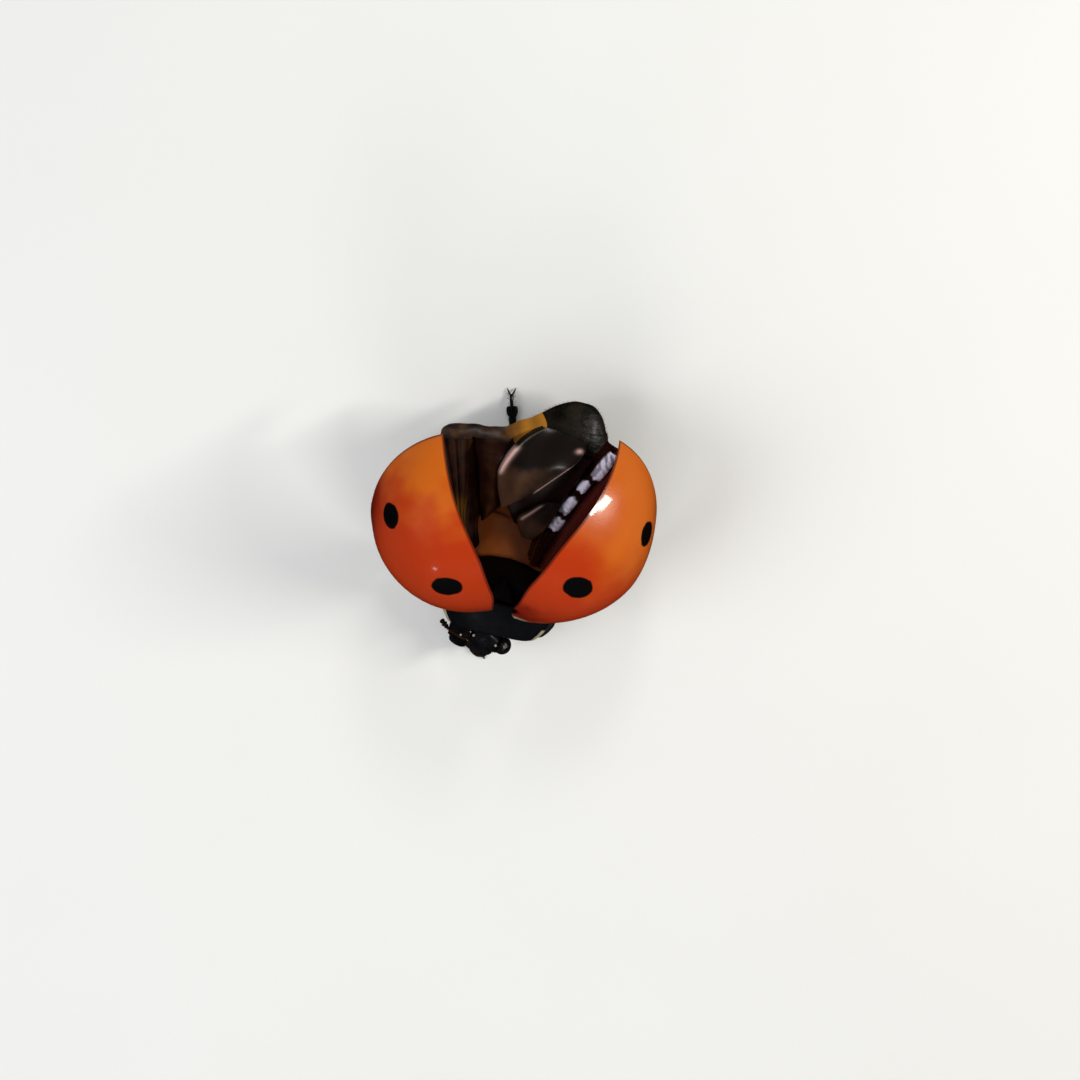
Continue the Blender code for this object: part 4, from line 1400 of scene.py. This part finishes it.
def make_thorax(colours):
    """The body under the neck shield, and the black and the brown back plates behind it."""

    # each section gives half width, top and underside at a place along the body
    def fore_section(y):
        return mix(0.92, 1.05, ease(y, -1.0, -0.5)), 0.56, THORAX_UNDERSIDE

    def middle_section(y):
        back = share(y, MESOTHORAX_SPAN[0], METATHORAX_SPAN[0])
        top = mix(0.78, 1.06, ease(y, MESOTHORAX_SPAN[0], 0.75))
        return mix(0.94, 1.22, back), top, THORAX_UNDERSIDE

    def rear_section(y):
        back = share(y, METATHORAX_SPAN[0], ABDOMEN_CUTS[0])
        return mix(1.26, 1.70, back), mix(1.06, 0.86, back), THORAX_UNDERSIDE

    def keel(angle, _):
        """A low ridge along the middle of the underside."""
        return 0.03 * hump(angle, -math.pi / 2.0, 0.10)

    def back_plate(angle, along):
        """A groove between two low humps on the back, and seams at the sides and below."""
        from_top = abs(angle - math.pi / 2.0)
        from_middle = abs(abs(angle) - math.pi / 2.0)
        groove = -0.035 * hump(from_top, 0.0, 0.045)
        humps = 0.030 * hump(from_top, 0.42, 0.16)
        side = -0.04 * hump(from_middle, 1.25, 0.07)
        keel_seam = -0.02 * hump(angle, -math.pi / 2.0, 0.025)
        return groove + humps * ease(along, 0.1, 0.5) + side + keel_seam

    mesh = trunk_mesh(*PROSTERNUM_SPAN, fore_section, keel, power=2.6)
    finish_piece("prosternum_plate", mesh, [shell_material(colours)],
                 ["prosternum"], fore_frame())

    mesh = trunk_mesh(*MESOTHORAX_SPAN, middle_section, back_plate, rings=30)
    bow_seam(mesh)
    finish_piece("mesothorax_shell", mesh, [matt_material(colours)], ["mesothorax"])

    mesh = trunk_mesh(*METATHORAX_SPAN, rear_section, back_plate, rings=30, lip=0.05)
    seam = mesh.verts.layers.float["seam"]
    for vertex in mesh.verts:
        dark_front = 1.0 - ease(vertex.co.y, 1.38, 1.50)
        belly = 1.0 - ease(vertex.co.z, -0.15, 0.35)
        vertex[seam] = max(dark_front * 0.5, belly)
    bow_seam(mesh)
    finish_piece("metathorax_shell", mesh, [metathorax_material(colours)],
                 ["metathorax"])


def make_scutellum(colours):
    """The small black triangle between the bases of the wing cases."""
    plate = new_sheet(28, 24)

    def place(point):
        """A triangle with a low dome and its side edges turned down."""
        across, along = point.x * 2.0 - 1.0, point.y
        width = mix(0.34, 0.03, along ** 1.25)
        dome = 0.05 * (1.0 - across ** 2) * math.sin(math.pi * min(along + 0.15, 1.0))
        rim = -0.05 * ease(abs(across), 0.85, 1.0)
        return Vector((across * width, mix(0.20, 0.84, along), mix(1.20, 1.18, along) + dome + rim))

    shape(plate, place)
    face_up(plate)
    give_wall(plate, wall=0.10, edge=0.05)
    finish_piece("scutellum_plate", plate, [matt_material(colours)], ["scutellum"])


def make_side_plates(colours):
    """The pale plates on the sides of the middle thorax."""
    for side, sign in SIDES.items():
        patch = bmesh.new()
        add_spindle(patch, line((1.10, 0.74, -0.06), (1.15, 0.98, 0.02), (1.19, 1.24, 0.10)),
                    [0.06, 0.17, 0.15, 0.08], 20, 18, flat=0.30, blunt=3.0,
                    up=Vector((1.0, 0.0, 0.25)))
        finish_piece(f"side_plate_{side}", patch, [brown_material(
            "pale side plate", colours.pale_patch, colours.pale_shade, 0.38,
        )], [], mirrored(sign))


def abdomen_taper(y, power, root):
    """How far the abdomen narrows towards its tip, from 1 at its front."""
    return (1.0 - share(y, ABDOMEN_CUTS[0] - 0.04, ABDOMEN_CUTS[-1] + 0.01) ** power) ** root


def abdomen_centre(y):
    """How far the abdomen bends to the left at a place along it."""
    return ABDOMEN_BEND * max((y - 2.0) / 2.9, 0.0) ** 1.3


def abdomen_section(y):
    """Half width, top and underside of the abdomen at a place along it."""
    return (
        ABDOMEN_HALF_WIDTH * abdomen_taper(y, 1.6, 0.54),
        ABDOMEN_TOP * abdomen_taper(y, 2.6, 0.55),
        ABDOMEN_UNDERSIDE * abdomen_taper(y, 2.6, 0.55),
    )


def ring_relief(angle, along):
    """Each ring swells towards its rear edge, with a side groove between back and belly plates."""
    swell = 0.030 * ease(along, 0.1, 0.85) - 0.020
    from_middle = abs(abs(angle) - math.pi / 2.0)
    groove = -0.045 * hump(from_middle, 1.34, 0.06)
    ridge = 0.018 * hump(from_middle, 1.16, 0.09)
    return swell + groove + ridge


def make_abdomen(colours):
    """Six overlapping rings, amber at the waist, with breathing holes along the sides."""
    material = abdomen_material(colours)
    pairs = list(zip(ABDOMEN_CUTS[:-1], ABDOMEN_CUTS[1:]))
    for index, (start, end) in enumerate(pairs, start=1):
        last = index == len(pairs)
        mesh = trunk_mesh(
            start - 0.03, end - (0.04 if last else -0.01), abdomen_section, ring_relief,
            abdomen_centre, rings=36 if last else 20, lip=0.0 if last else 0.05,
        )
        waist = mesh.verts.layers.float["waist"]
        seam = mesh.verts.layers.float["seam"]
        for vertex in mesh.verts:
            vertex[waist] = (1.0 - ease(vertex.co.y, 2.75, 3.15)) * ease(vertex.co.z, 0.0, 0.4)
            if last:
                vertex[seam] = 1.0 - ease(vertex.co.y, start, start + 0.09)
        if last:
            bmesh.ops.remove_doubles(mesh, verts=mesh.verts, dist=0.002)
        finish_piece(f"abdomen_ring_{index}", mesh, [material], [f"abdomen_{index}"])

    for side, sign in SIDES.items():
        breathing = bmesh.new()
        for start, end in pairs[:5]:
            y = mix(start, end, 0.45)
            width, top, bottom = abdomen_section(y)
            middle = mix(bottom, top, BELT)
            x = abdomen_centre(y) + sign * width * 0.985
            add_ball(breathing, (x, y, middle + 0.16), (0.030, 0.045, 0.040), 14, 8)
        finish_piece(f"spiracles_{side}", breathing, [brown_material(
            "pale spiracle rim", colours.mouth_brown, colours.band_amber, 0.4,
        )])


# ---------------------------------------------------------------- legs


def leg_line(pair, side):
    """Root, hip, knee, ankle and toe of a leg."""
    return [Vector(point) for point in LEG_POINTS[pair, side]]


def over_floor(point, height):
    """The place above or below point that is height over the floor."""
    return Vector((point.x, point.y, FLOOR + height))


def make_leg(pair, side, colours):
    """One leg: hip, swollen thigh, slender shin and a padded foot with two claws."""
    root, hip, knee, ankle, toe = leg_line(pair, side)
    black = leg_material(colours)
    amber = brown_material("claw cuticle", colours.mouth_dark, colours.feeler_brown, 0.3)
    ankle = over_floor(ankle, ANKLE_HEIGHT)
    sole = over_floor(ankle, SOLE_HEIGHT)
    toe_way = Vector((toe.x - ankle.x, toe.y - ankle.y, 0.0))
    reach = toe_way.length
    toe_way.normalize()
    side_way = toe_way.cross(UP).normalized()

    def finish(name, mesh, material, nodes=()):
        """Make a mesh a piece of this leg."""
        finish_piece(f"{pair}_{name}_{side}", mesh, [material], nodes, mirrored(SIDES[side]))

    mesh = bmesh.new()
    neck = mix(root, hip, 0.62)
    add_spindle(mesh, [root, mix(root, neck, 0.5) + UP * 0.02, neck],
                [0.20, 0.225, 0.19, 0.13], 24, 20)
    finish("hip", mesh, black, [f"{pair}_coxa_{side}"])

    mesh = bmesh.new()
    joint = mix(root, hip, 0.78)
    add_spindle(mesh, [mix(root, hip, 0.52), joint, hip], [0.11, 0.15, 0.12], 20, 14)
    middle = mix(joint, knee, 0.5) + UP * 0.05
    add_spindle(mesh, [mix(root, hip, 0.72), middle, mix(joint, knee, 1.01)],
                [0.12, 0.22, 0.27, 0.24, 0.155], 28, 30, flat=0.75)
    add_spindle(mesh, [mix(knee, middle, 0.12), knee + (knee - middle) * 0.03],
                [0.12, 0.13], 20, 14, blunt=2.4)
    finish("thigh", mesh, black, [f"{pair}_femur_{side}"])

    mesh = bmesh.new()
    bow = mix(knee, ankle, 0.5) + (knee - root).normalized() * 0.05 + UP * 0.03
    add_spindle(mesh, [knee, bow, ankle], [0.095, 0.130, 0.125, 0.125, 0.135, 0.105], 22, 30,
                flat=0.85)
    shin = (ankle - bow).normalized()
    across = shin.cross(UP).normalized()
    for sign in (1.0, -1.0):
        base = ankle - shin * 0.05 + across * 0.07 * sign
        spur = base + shin * 0.13 + across * 0.035 * sign
        add_spindle(mesh, [base, spur], [0.020, 0.016, 0.004], 8, 8)
    finish("shin", mesh, black, [f"{pair}_tibia_{side}"])

    mesh = bmesh.new()
    first = [
        ankle,
        mix(ankle, sole, 0.6) + toe_way * reach * 0.16,
        sole + UP * 0.02 + toe_way * reach * 0.36,
    ]
    add_spindle(mesh, first, [0.075, 0.095, 0.115], 20, 18, flat=0.72)
    for sign in (1.0, -1.0):
        start = sole + UP * 0.02 + toe_way * reach * 0.30
        end = sole + toe_way * reach * 0.62 + side_way * sign * 0.075
        pad = [start, mix(start, end, 0.5) + side_way * sign * 0.03, end]
        add_spindle(mesh, pad, [0.075, 0.090, 0.082], 18, 16, flat=0.75)
    start = sole + UP * 0.055 + toe_way * reach * 0.44
    end = sole + UP * 0.02 + toe_way * reach * 0.97
    add_spindle(mesh, [start, mix(start, end, 0.55) + UP * 0.05, end],
                [0.035, 0.045, 0.055, 0.066], 18, 20)
    finish("foot", mesh, black, [f"{pair}_tarsus_{side}"])

    mesh = bmesh.new()
    for sign in (1.0, -1.0):
        base = end - toe_way * 0.03 + side_way * sign * 0.025
        out = toe_way * 0.9 + side_way * sign * 0.5
        tip = over_floor(base + out * 0.20, CLAW_HEIGHT)
        over = mix(base, tip, 0.5) + UP * 0.045
        add_spindle(mesh, [base, over, tip], [0.030, 0.028, 0.020, 0.006], 12, 16)
        tooth = mix(base, over, 0.5)
        add_spindle(mesh, [tooth, tooth + out * 0.03 - UP * 0.055], [0.018, 0.014, 0.004], 10, 8)
    finish("claws", mesh, amber)


# ---------------------------------------------------------------- hairs


LIMB_HAIR_RADIUS = 0.0045
PAD_HAIR_RADIUS = 0.005
DOWN_RADIUS = 0.0035
HEAD_HAIR_RADIUS = 0.004
HAIRS_ON_LIP = 24
HAIR_SPACE = 0.004  # a bristle that would come closer to the floor is left out
PATCH_WIDTH = 0.0024  # a bristle's patch on the unwrap
PATCH_HEIGHT = 0.003


def add_hair(mesh, layer, root, way, length, radius, u, v):
    """Add one tapered bristle, with its own small patch at (u, v) on the unwrap."""
    way = way.normalized()
    turn = way.to_track_quat("Z", "Y").to_matrix().to_4x4()
    made = bmesh.ops.create_cone(
        mesh, segments=3, radius1=radius, radius2=radius * 0.15, depth=length,
        matrix=Matrix.Translation(root + way * length * 0.5) @ turn,
    )
    for face in {face for vertex in made["verts"] for face in vertex.link_faces}:
        for loop in face.loops:
            rise = (loop.vert.co - root).dot(way) / length
            around = (loop.vert.co - root).cross(way).x / max(radius, 1e-6)
            loop[layer].uv = (
                u + PATCH_WIDTH / 2.0 * min(max(around, -1.0), 1.0),
                v + PATCH_HEIGHT * (rise - 0.5),
            )


def hair_mesh():
    """An empty mesh for bristles, with its unwrap."""
    mesh = bmesh.new()
    return mesh, mesh.loops.layers.uv.new("OFBake")


def add_limb_hairs(mesh, layer, draw, start, end, radius, count, length, patch):
    """Bristles round a limb, slanted towards its end. patch is its place on the unwrap."""
    way = (end - start).normalized()
    side = way.cross(UP).normalized()
    above = side.cross(way)
    for _ in range(count):
        along, angle = draw.random(), draw.random() * 2.0 * math.pi
        out = side * math.cos(angle) + above * math.sin(angle)
        root = mix(start, end, 0.06 + 0.9 * along) + out * radius * 0.9
        slant = (out + way * draw.uniform(0.7, 1.3)).normalized()
        size = length * draw.uniform(0.7, 1.2)
        if root.z + slant.z * size < FLOOR + HAIR_SPACE:
            continue
        add_hair(mesh, layer, root, slant, size, LIMB_HAIR_RADIUS,
                 patch[0] + 0.09 * along, patch[1] + 0.14 * angle / (2.0 * math.pi))


def make_leg_hairs(pair, side, sizes, colours, draw):
    """Bristles on a thigh, a shin and a foot, and a brush under its pads."""
    root, hip, knee, ankle, toe = leg_line(pair, side)
    ankle = over_floor(ankle, ANKLE_HEIGHT)
    toe = over_floor(toe, TOE_HEIGHT)
    mesh, layer = hair_mesh()
    count = sizes.hairs_per_limb
    length = sizes.hair_length / MM
    add_limb_hairs(mesh, layer, draw, hip, knee, 0.17, count, length * 0.8, (0.05, 0.05))
    add_limb_hairs(mesh, layer, draw, knee, ankle, 0.095, count * 2, length, (0.25, 0.05))
    add_limb_hairs(mesh, layer, draw, ankle, toe, 0.085, count, length * 0.9, (0.45, 0.05))
    pad_way = toe - ankle
    pad_way.z = 0.0
    side_way = pad_way.cross(UP).normalized()
    for _ in range(count * 2):
        along, across = draw.uniform(0.12, 0.66), draw.uniform(-1.0, 1.0)
        root = over_floor(ankle, 0.055) + pad_way * along + side_way * across * 0.11
        add_hair(mesh, layer, root, pad_way.normalized() * 0.2 - UP, 0.045, PAD_HAIR_RADIUS,
                 0.65 + 0.12 * along, 0.10 + 0.05 * across)
    finish_piece(f"{pair}_leg_bristles_{side}", mesh, [hair_material(colours)], [],
                 mirrored(SIDES[side]))


def make_body_hairs(sizes, colours, draw):
    """A short down on the abdomen and the underside, and a few bristles on the head."""
    mesh, layer = hair_mesh()
    length = sizes.hair_length / MM
    for _ in range(sizes.hairs_on_abdomen):
        y = draw.uniform(3.2, 5.86)
        angle = draw.uniform(-math.pi, math.pi)
        width, top, bottom = abdomen_section(y)
        middle = mix(bottom, top, BELT)
        height = top - middle if angle > 0.0 else middle - bottom
        power = 2.0 / TRUNK_POWER
        out = Vector((math.cos(angle), 0.25, math.sin(angle)))
        root = Vector((
            abdomen_centre(y) + width * signed_power(math.cos(angle), power), y,
            middle + height * signed_power(math.sin(angle), power),
        ))
        add_hair(mesh, layer, root, out + Vector((0.0, 1.4, 0.0)), length * draw.uniform(0.5, 0.8),
                 DOWN_RADIUS, 0.05 + 0.9 * share(y, 3.0, 6.0), 0.5 + 0.45 * angle / math.pi)
    finish_piece("abdomen_down", mesh, [hair_material(colours)])

    mesh, layer = hair_mesh()
    for _ in range(sizes.hairs_on_head):
        angle, z = draw.uniform(-math.pi, math.pi), draw.uniform(-0.96, 0.1)
        root = head_point(angle, z)
        out = Vector((root.x, -0.25, root.z))
        add_hair(mesh, layer, root, out, length * draw.uniform(0.45, 0.8), HEAD_HAIR_RADIUS,
                 0.5 + 0.45 * angle / math.pi, 0.5 + 0.45 * z)
    for _ in range(HAIRS_ON_LIP):
        x = draw.uniform(-0.24, 0.24)
        root = Vector((x, -2.03 + abs(x) * 0.2, -0.02))
        add_hair(mesh, layer, root, Vector((x * 0.4, -1.0, -0.35)), length * 0.8,
                 HEAD_HAIR_RADIUS, 0.02 + 0.5 * abs(x), 0.97)
    finish_piece("head_bristles", mesh, [hair_material(colours)], [], head_frame())


# ---------------------------------------------------------------- stage


def body_point(right, up, back):
    """A point in body millimetres from its shares along the camera's axes."""
    camera_up = CAMERA_BACK.cross(CAMERA_RIGHT).normalized()
    return CAMERA_RIGHT * right + camera_up * up + CAMERA_BACK * back


def add_lamp(name, place, width, height, watts, colour, roll, shines):
    """An area lamp at a body place in millimetres, looking at the beetle and rolled by some
    degrees. One that does not shine is left out of reflections."""
    light = bpy.data.lights.new(name, "AREA")
    light.shape = "RECTANGLE"
    light.size = width * MM
    light.size_y = height * MM
    light.energy = watts
    light.color = colour
    lamp = bpy.data.objects.new(name, light)
    away = Vector(place) - LAMP_AIM
    lamp.matrix_world = (
        Matrix.Translation(to_row() @ Vector(place))
        @ away.to_track_quat("Z", "Y").to_matrix().to_4x4()
        @ Matrix.Rotation(math.radians(roll), 4, "Z")
    )
    lamp.visible_glossy = shines
    bpy.context.scene.collection.objects.link(lamp)


def make_stage(colours):
    """The floor, the studio light and the camera."""
    mesh = bmesh.new()
    bmesh.ops.create_grid(mesh, x_segments=8, y_segments=8, size=FLOOR_REACH)
    data = bpy.data.meshes.new("floor")
    mesh.to_mesh(data)
    mesh.free()
    data.materials.append(floor_material(colours))
    floor = bpy.data.objects.new("floor", data)
    floor.visible_glossy = False  # a mirrored pale floor would turn the black shell grey
    bpy.context.scene.collection.objects.link(floor)

    world = bpy.data.worlds.new("studio")
    world.use_nodes = True
    backdrop = world.node_tree.nodes["Background"]
    backdrop.inputs["Color"].default_value = BACKDROP_COLOUR
    backdrop.inputs["Strength"].default_value = BACKDROP_STRENGTH
    world.cycles_visibility.glossy = False
    bpy.context.scene.world = world

    for lamp in LAMPS:
        add_lamp(*lamp)

    data = bpy.data.cameras.new("camera")
    data.lens = CAMERA_LENS
    data.sensor_width = SENSOR
    data.clip_start, data.clip_end = CAMERA_CLIP
    right = CAMERA_RIGHT.normalized()
    up = CAMERA_BACK.cross(right).normalized()
    back = right.cross(up)
    aim = body_point(*CAMERA_AIM)
    place = aim + back * (CAMERA_WIDTH * CAMERA_LENS / SENSOR)
    turn = Matrix((right, up, back)).transposed().to_4x4()
    camera = bpy.data.objects.new("camera", data)
    camera.matrix_world = Matrix.Translation(to_row() @ place) @ turn
    bpy.context.scene.collection.objects.link(camera)
    bpy.context.scene.camera = camera
    bpy.context.scene.view_settings.view_transform = "Standard"


# ---------------------------------------------------------------- settings


def length_setting(name, description, default, low, high):
    """A length in metres, given here in millimetres."""
    return FloatProperty(name=name, description=description, default=default * MM,
                         min=low * MM, max=high * MM, unit="LENGTH", precision=6)


def colour_setting(name, description, code):
    """A colour, given here as an sRGB hex code."""
    return FloatVectorProperty(name=name, description=description, default=linear(code),
                               subtype="COLOR", size=3, min=0.0, max=1.0)


class LadybirdSizes(bpy.types.PropertyGroup):
    """Sizes that change the look and leave the frame alone."""

    case_wall: length_setting("Case wall", "Thickness of a wing case", 0.13, 0.05, 0.4)
    spot_scale: FloatProperty(name="Spot scale", description="Size of the black spots against life",
                              default=1.0, min=0.3, max=1.6, subtype="FACTOR")
    pit_spacing: length_setting("Pit spacing", "Distance between punctures on a wing case",
                                0.085, 0.03, 0.5)
    hair_length: length_setting("Hair length", "Length of the bristles on the legs",
                                0.10, 0.02, 0.4)
    hairs_per_limb: IntProperty(name="Hairs per limb", description="Bristles on each length of leg",
                                default=70, min=0, max=400)
    hairs_on_abdomen: IntProperty(name="Hairs on abdomen", description="Short hairs on the abdomen",
                                  default=1400, min=0, max=6000)
    hairs_on_head: IntProperty(name="Hairs on head", description="Bristles on the head",
                               default=160, min=0, max=1000)


class LadybirdColours(bpy.types.PropertyGroup):
    """Colours of the cuticle, the membranes and the stage."""

    case_orange: colour_setting("Case orange", "Rear of a wing case", "D06410")
    case_red: colour_setting("Case red", "Front of a wing case", "B83406")
    # case deep red is partly the case's own deep red and partly painted shade on its base and lower
    # sides
    case_deep_red_and_shade: colour_setting("Case deep red", "Base and lower sides of a wing case", "720C02")
    case_rim: colour_setting("Case rim", "Thin dark edge of a wing case", "4A150A")
    case_lining: colour_setting("Case lining", "Inside of a wing case", "9A4A1E")
    spot_black: colour_setting("Spot black", "Spots on the wing cases", "0A0808")
    pale_patch: colour_setting("Pale patch", "Ivory patches on the pronotum and head", "B4AA88")
    pale_shade: colour_setting("Pale patch shade", "Darker parts of the ivory patches", "9C9070")
    shell_black: colour_setting("Shell black", "Black cuticle", "08080A")
    shell_sheen: colour_setting("Shell sheen", "Paler parts of the black cuticle", "111217")
    leg_black: colour_setting("Leg black", "Legs", "0D0B0B")
    eye_black: colour_setting("Eye black", "Eyes", "070707")
    eye_brown: colour_setting("Eye brown", "Paler parts of the eyes", "17110E")
    feeler_brown: colour_setting("Feeler brown", "Feelers and claws", "2E1A0E")
    mouth_dark: colour_setting("Mouth dark", "Dark parts of the mouth", "17100C")
    mouth_brown: colour_setting("Mouth brown", "Thin parts of the mouth", "38200F")
    abdomen_dark: colour_setting("Abdomen dark", "Rings of the abdomen", "0E0C07")
    abdomen_olive: colour_setting("Abdomen olive", "Paler parts of the rings", "231D12")
    seam_brown: colour_setting("Seam brown", "Skin between the rings", "241810")
    back_amber: colour_setting("Back amber", "Back of the thorax", "C4702E")
    back_brown: colour_setting("Back brown", "Darker parts of the back", "A0501C")
    band_amber: colour_setting("Band amber", "Thin skin at the waist", "B4662A")
    band_brown: colour_setting("Band brown", "Darker parts of the waist", "864418")
    wing_black: colour_setting("Wing black", "Darkest wing membrane", "1A0605")
    wing_maroon: colour_setting("Wing maroon", "Maroon wing membrane", "4A140C")
    wing_brown: colour_setting("Wing brown", "Olive brown wing membrane", "4A2A0C")
    wing_amber: colour_setting("Clear amber", "Thin amber wing membrane", "B87614")
    wing_gold: colour_setting("Wing gold", "Veins", "6A4E14")
    wing_smoke: colour_setting("Wing smoke", "Smoky wing membrane", "1A120D")
    wing_olive: colour_setting("Wing olive", "Olive wing membrane", "4E3322")
    # wing pink is a painted highlight on the turned folds and edges of the membrane
    wing_pink_highlight: colour_setting("Wing pink", "Turned folds of the membrane", "CFA49A")
    # wing lavender is a painted highlight on the pillows of the front edge
    wing_lavender_highlight: colour_setting("Wing lavender", "Crests of the front edge", "E8DCEE")
    hair_brown: colour_setting("Hair brown", "Bristles", "1C1410")
    hair_pale: colour_setting("Hair pale", "Paler bristles", "5A4630")
    floor_pale: colour_setting("Floor pale", "Floor", "F0EEE9")
    floor_shade: colour_setting("Floor shade", "Darker parts of the floor", "ECEAE4")


# ---------------------------------------------------------------- operators


class LADYBIRD_OT_wing_cases(bpy.types.Operator):
    """Build the two spotted wing cases"""

    bl_idname = "ladybird.wing_cases"
    bl_label = "Wing cases"

    def execute(self, context):
        for side in SIDES:
            make_wing_case(side, context.scene.ladybird_sizes, context.scene.ladybird_colours)
        return {"FINISHED"}


class LADYBIRD_OT_hind_wings(bpy.types.Operator):
    """Build the folded hind wings"""

    bl_idname = "ladybird.hind_wings"
    bl_label = "Hind wings"

    def execute(self, context):
        colours = context.scene.ladybird_colours
        make_left_wing(colours)
        make_right_wing(colours)
        make_folded_tip(colours)
        return {"FINISHED"}


class LADYBIRD_OT_pronotum(bpy.types.Operator):
    """Build the neck shield"""

    bl_idname = "ladybird.pronotum"
    bl_label = "Pronotum"

    def execute(self, context):
        make_pronotum(context.scene.ladybird_colours)
        return {"FINISHED"}


class LADYBIRD_OT_head(bpy.types.Operator):
    """Build the head, eyes, feelers and mouthparts"""

    bl_idname = "ladybird.head"
    bl_label = "Head"

    def execute(self, context):
        colours = context.scene.ladybird_colours
        make_head(colours)
        for side in SIDES:
            make_eye(side, colours)
            make_feeler(side, colours)
            make_mouthparts(side, colours)
        return {"FINISHED"}


class LADYBIRD_OT_thorax(bpy.types.Operator):
    """Build the thorax and the scutellum"""

    bl_idname = "ladybird.thorax"
    bl_label = "Thorax"

    def execute(self, context):
        colours = context.scene.ladybird_colours
        make_thorax(colours)
        make_scutellum(colours)
        make_side_plates(colours)
        return {"FINISHED"}


class LADYBIRD_OT_abdomen(bpy.types.Operator):
    """Build the rings of the abdomen"""

    bl_idname = "ladybird.abdomen"
    bl_label = "Abdomen"

    def execute(self, context):
        make_abdomen(context.scene.ladybird_colours)
        return {"FINISHED"}


class LADYBIRD_OT_legs(bpy.types.Operator):
    """Build the six legs with their feet and claws"""

    bl_idname = "ladybird.legs"
    bl_label = "Legs"

    def execute(self, context):
        for pair in LEG_PAIRS:
            for side in SIDES:
                make_leg(pair, side, context.scene.ladybird_colours)
        return {"FINISHED"}


class LADYBIRD_OT_hairs(bpy.types.Operator):
    """Grow the bristles on the legs, abdomen and head"""

    bl_idname = "ladybird.hairs"
    bl_label = "Hairs"

    def execute(self, context):
        sizes, colours = context.scene.ladybird_sizes, context.scene.ladybird_colours
        draw = random.Random(7)
        for pair in LEG_PAIRS:
            for side in SIDES:
                make_leg_hairs(pair, side, sizes, colours, draw)
        make_body_hairs(sizes, colours, draw)
        return {"FINISHED"}


class LADYBIRD_OT_stage(bpy.types.Operator):
    """Set up the floor, the lamps and the camera"""

    bl_idname = "ladybird.stage"
    bl_label = "Stage"

    def execute(self, context):
        make_stage(context.scene.ladybird_colours)
        return {"FINISHED"}


OPERATORS = (
    LADYBIRD_OT_wing_cases,
    LADYBIRD_OT_hind_wings,
    LADYBIRD_OT_pronotum,
    LADYBIRD_OT_head,
    LADYBIRD_OT_thorax,
    LADYBIRD_OT_abdomen,
    LADYBIRD_OT_legs,
    LADYBIRD_OT_hairs,
    LADYBIRD_OT_stage,
)


class LADYBIRD_PT_panel(bpy.types.Panel):
    """Lists the pieces and the stage"""

    bl_idname = "LADYBIRD_PT_panel"
    bl_label = "Ladybird"
    bl_space_type = "VIEW_3D"
    bl_region_type = "UI"
    bl_category = "Ladybird"

    def draw(self, context):
        """The operators first, then the sizes and the colours."""
        for operator in OPERATORS:
            self.layout.operator(operator.bl_idname)
        for group in (context.scene.ladybird_sizes, context.scene.ladybird_colours):
            box = self.layout.box()
            for key in group.bl_rna.properties.keys():
                if key not in {"rna_type", "name"}:
                    box.prop(group, key)


CLASSES = (LadybirdSizes, LadybirdColours, *OPERATORS, LADYBIRD_PT_panel)


def register():
    """Register the classes and give the scene their settings."""
    for item in CLASSES:
        bpy.utils.register_class(item)
    bpy.types.Scene.ladybird_sizes = PointerProperty(type=LadybirdSizes)
    bpy.types.Scene.ladybird_colours = PointerProperty(type=LadybirdColours)


def unregister():
    """Remove the settings and the classes."""
    del bpy.types.Scene.ladybird_colours
    del bpy.types.Scene.ladybird_sizes
    for item in reversed(CLASSES):
        bpy.utils.unregister_class(item)


def main():
    register()
    bpy.ops.ladybird.wing_cases()
    bpy.ops.ladybird.hind_wings()
    bpy.ops.ladybird.pronotum()
    bpy.ops.ladybird.head()
    bpy.ops.ladybird.thorax()
    bpy.ops.ladybird.abdomen()
    bpy.ops.ladybird.legs()
    bpy.ops.ladybird.hairs()
    bpy.ops.ladybird.stage()


if __name__ == "__main__":
    main()
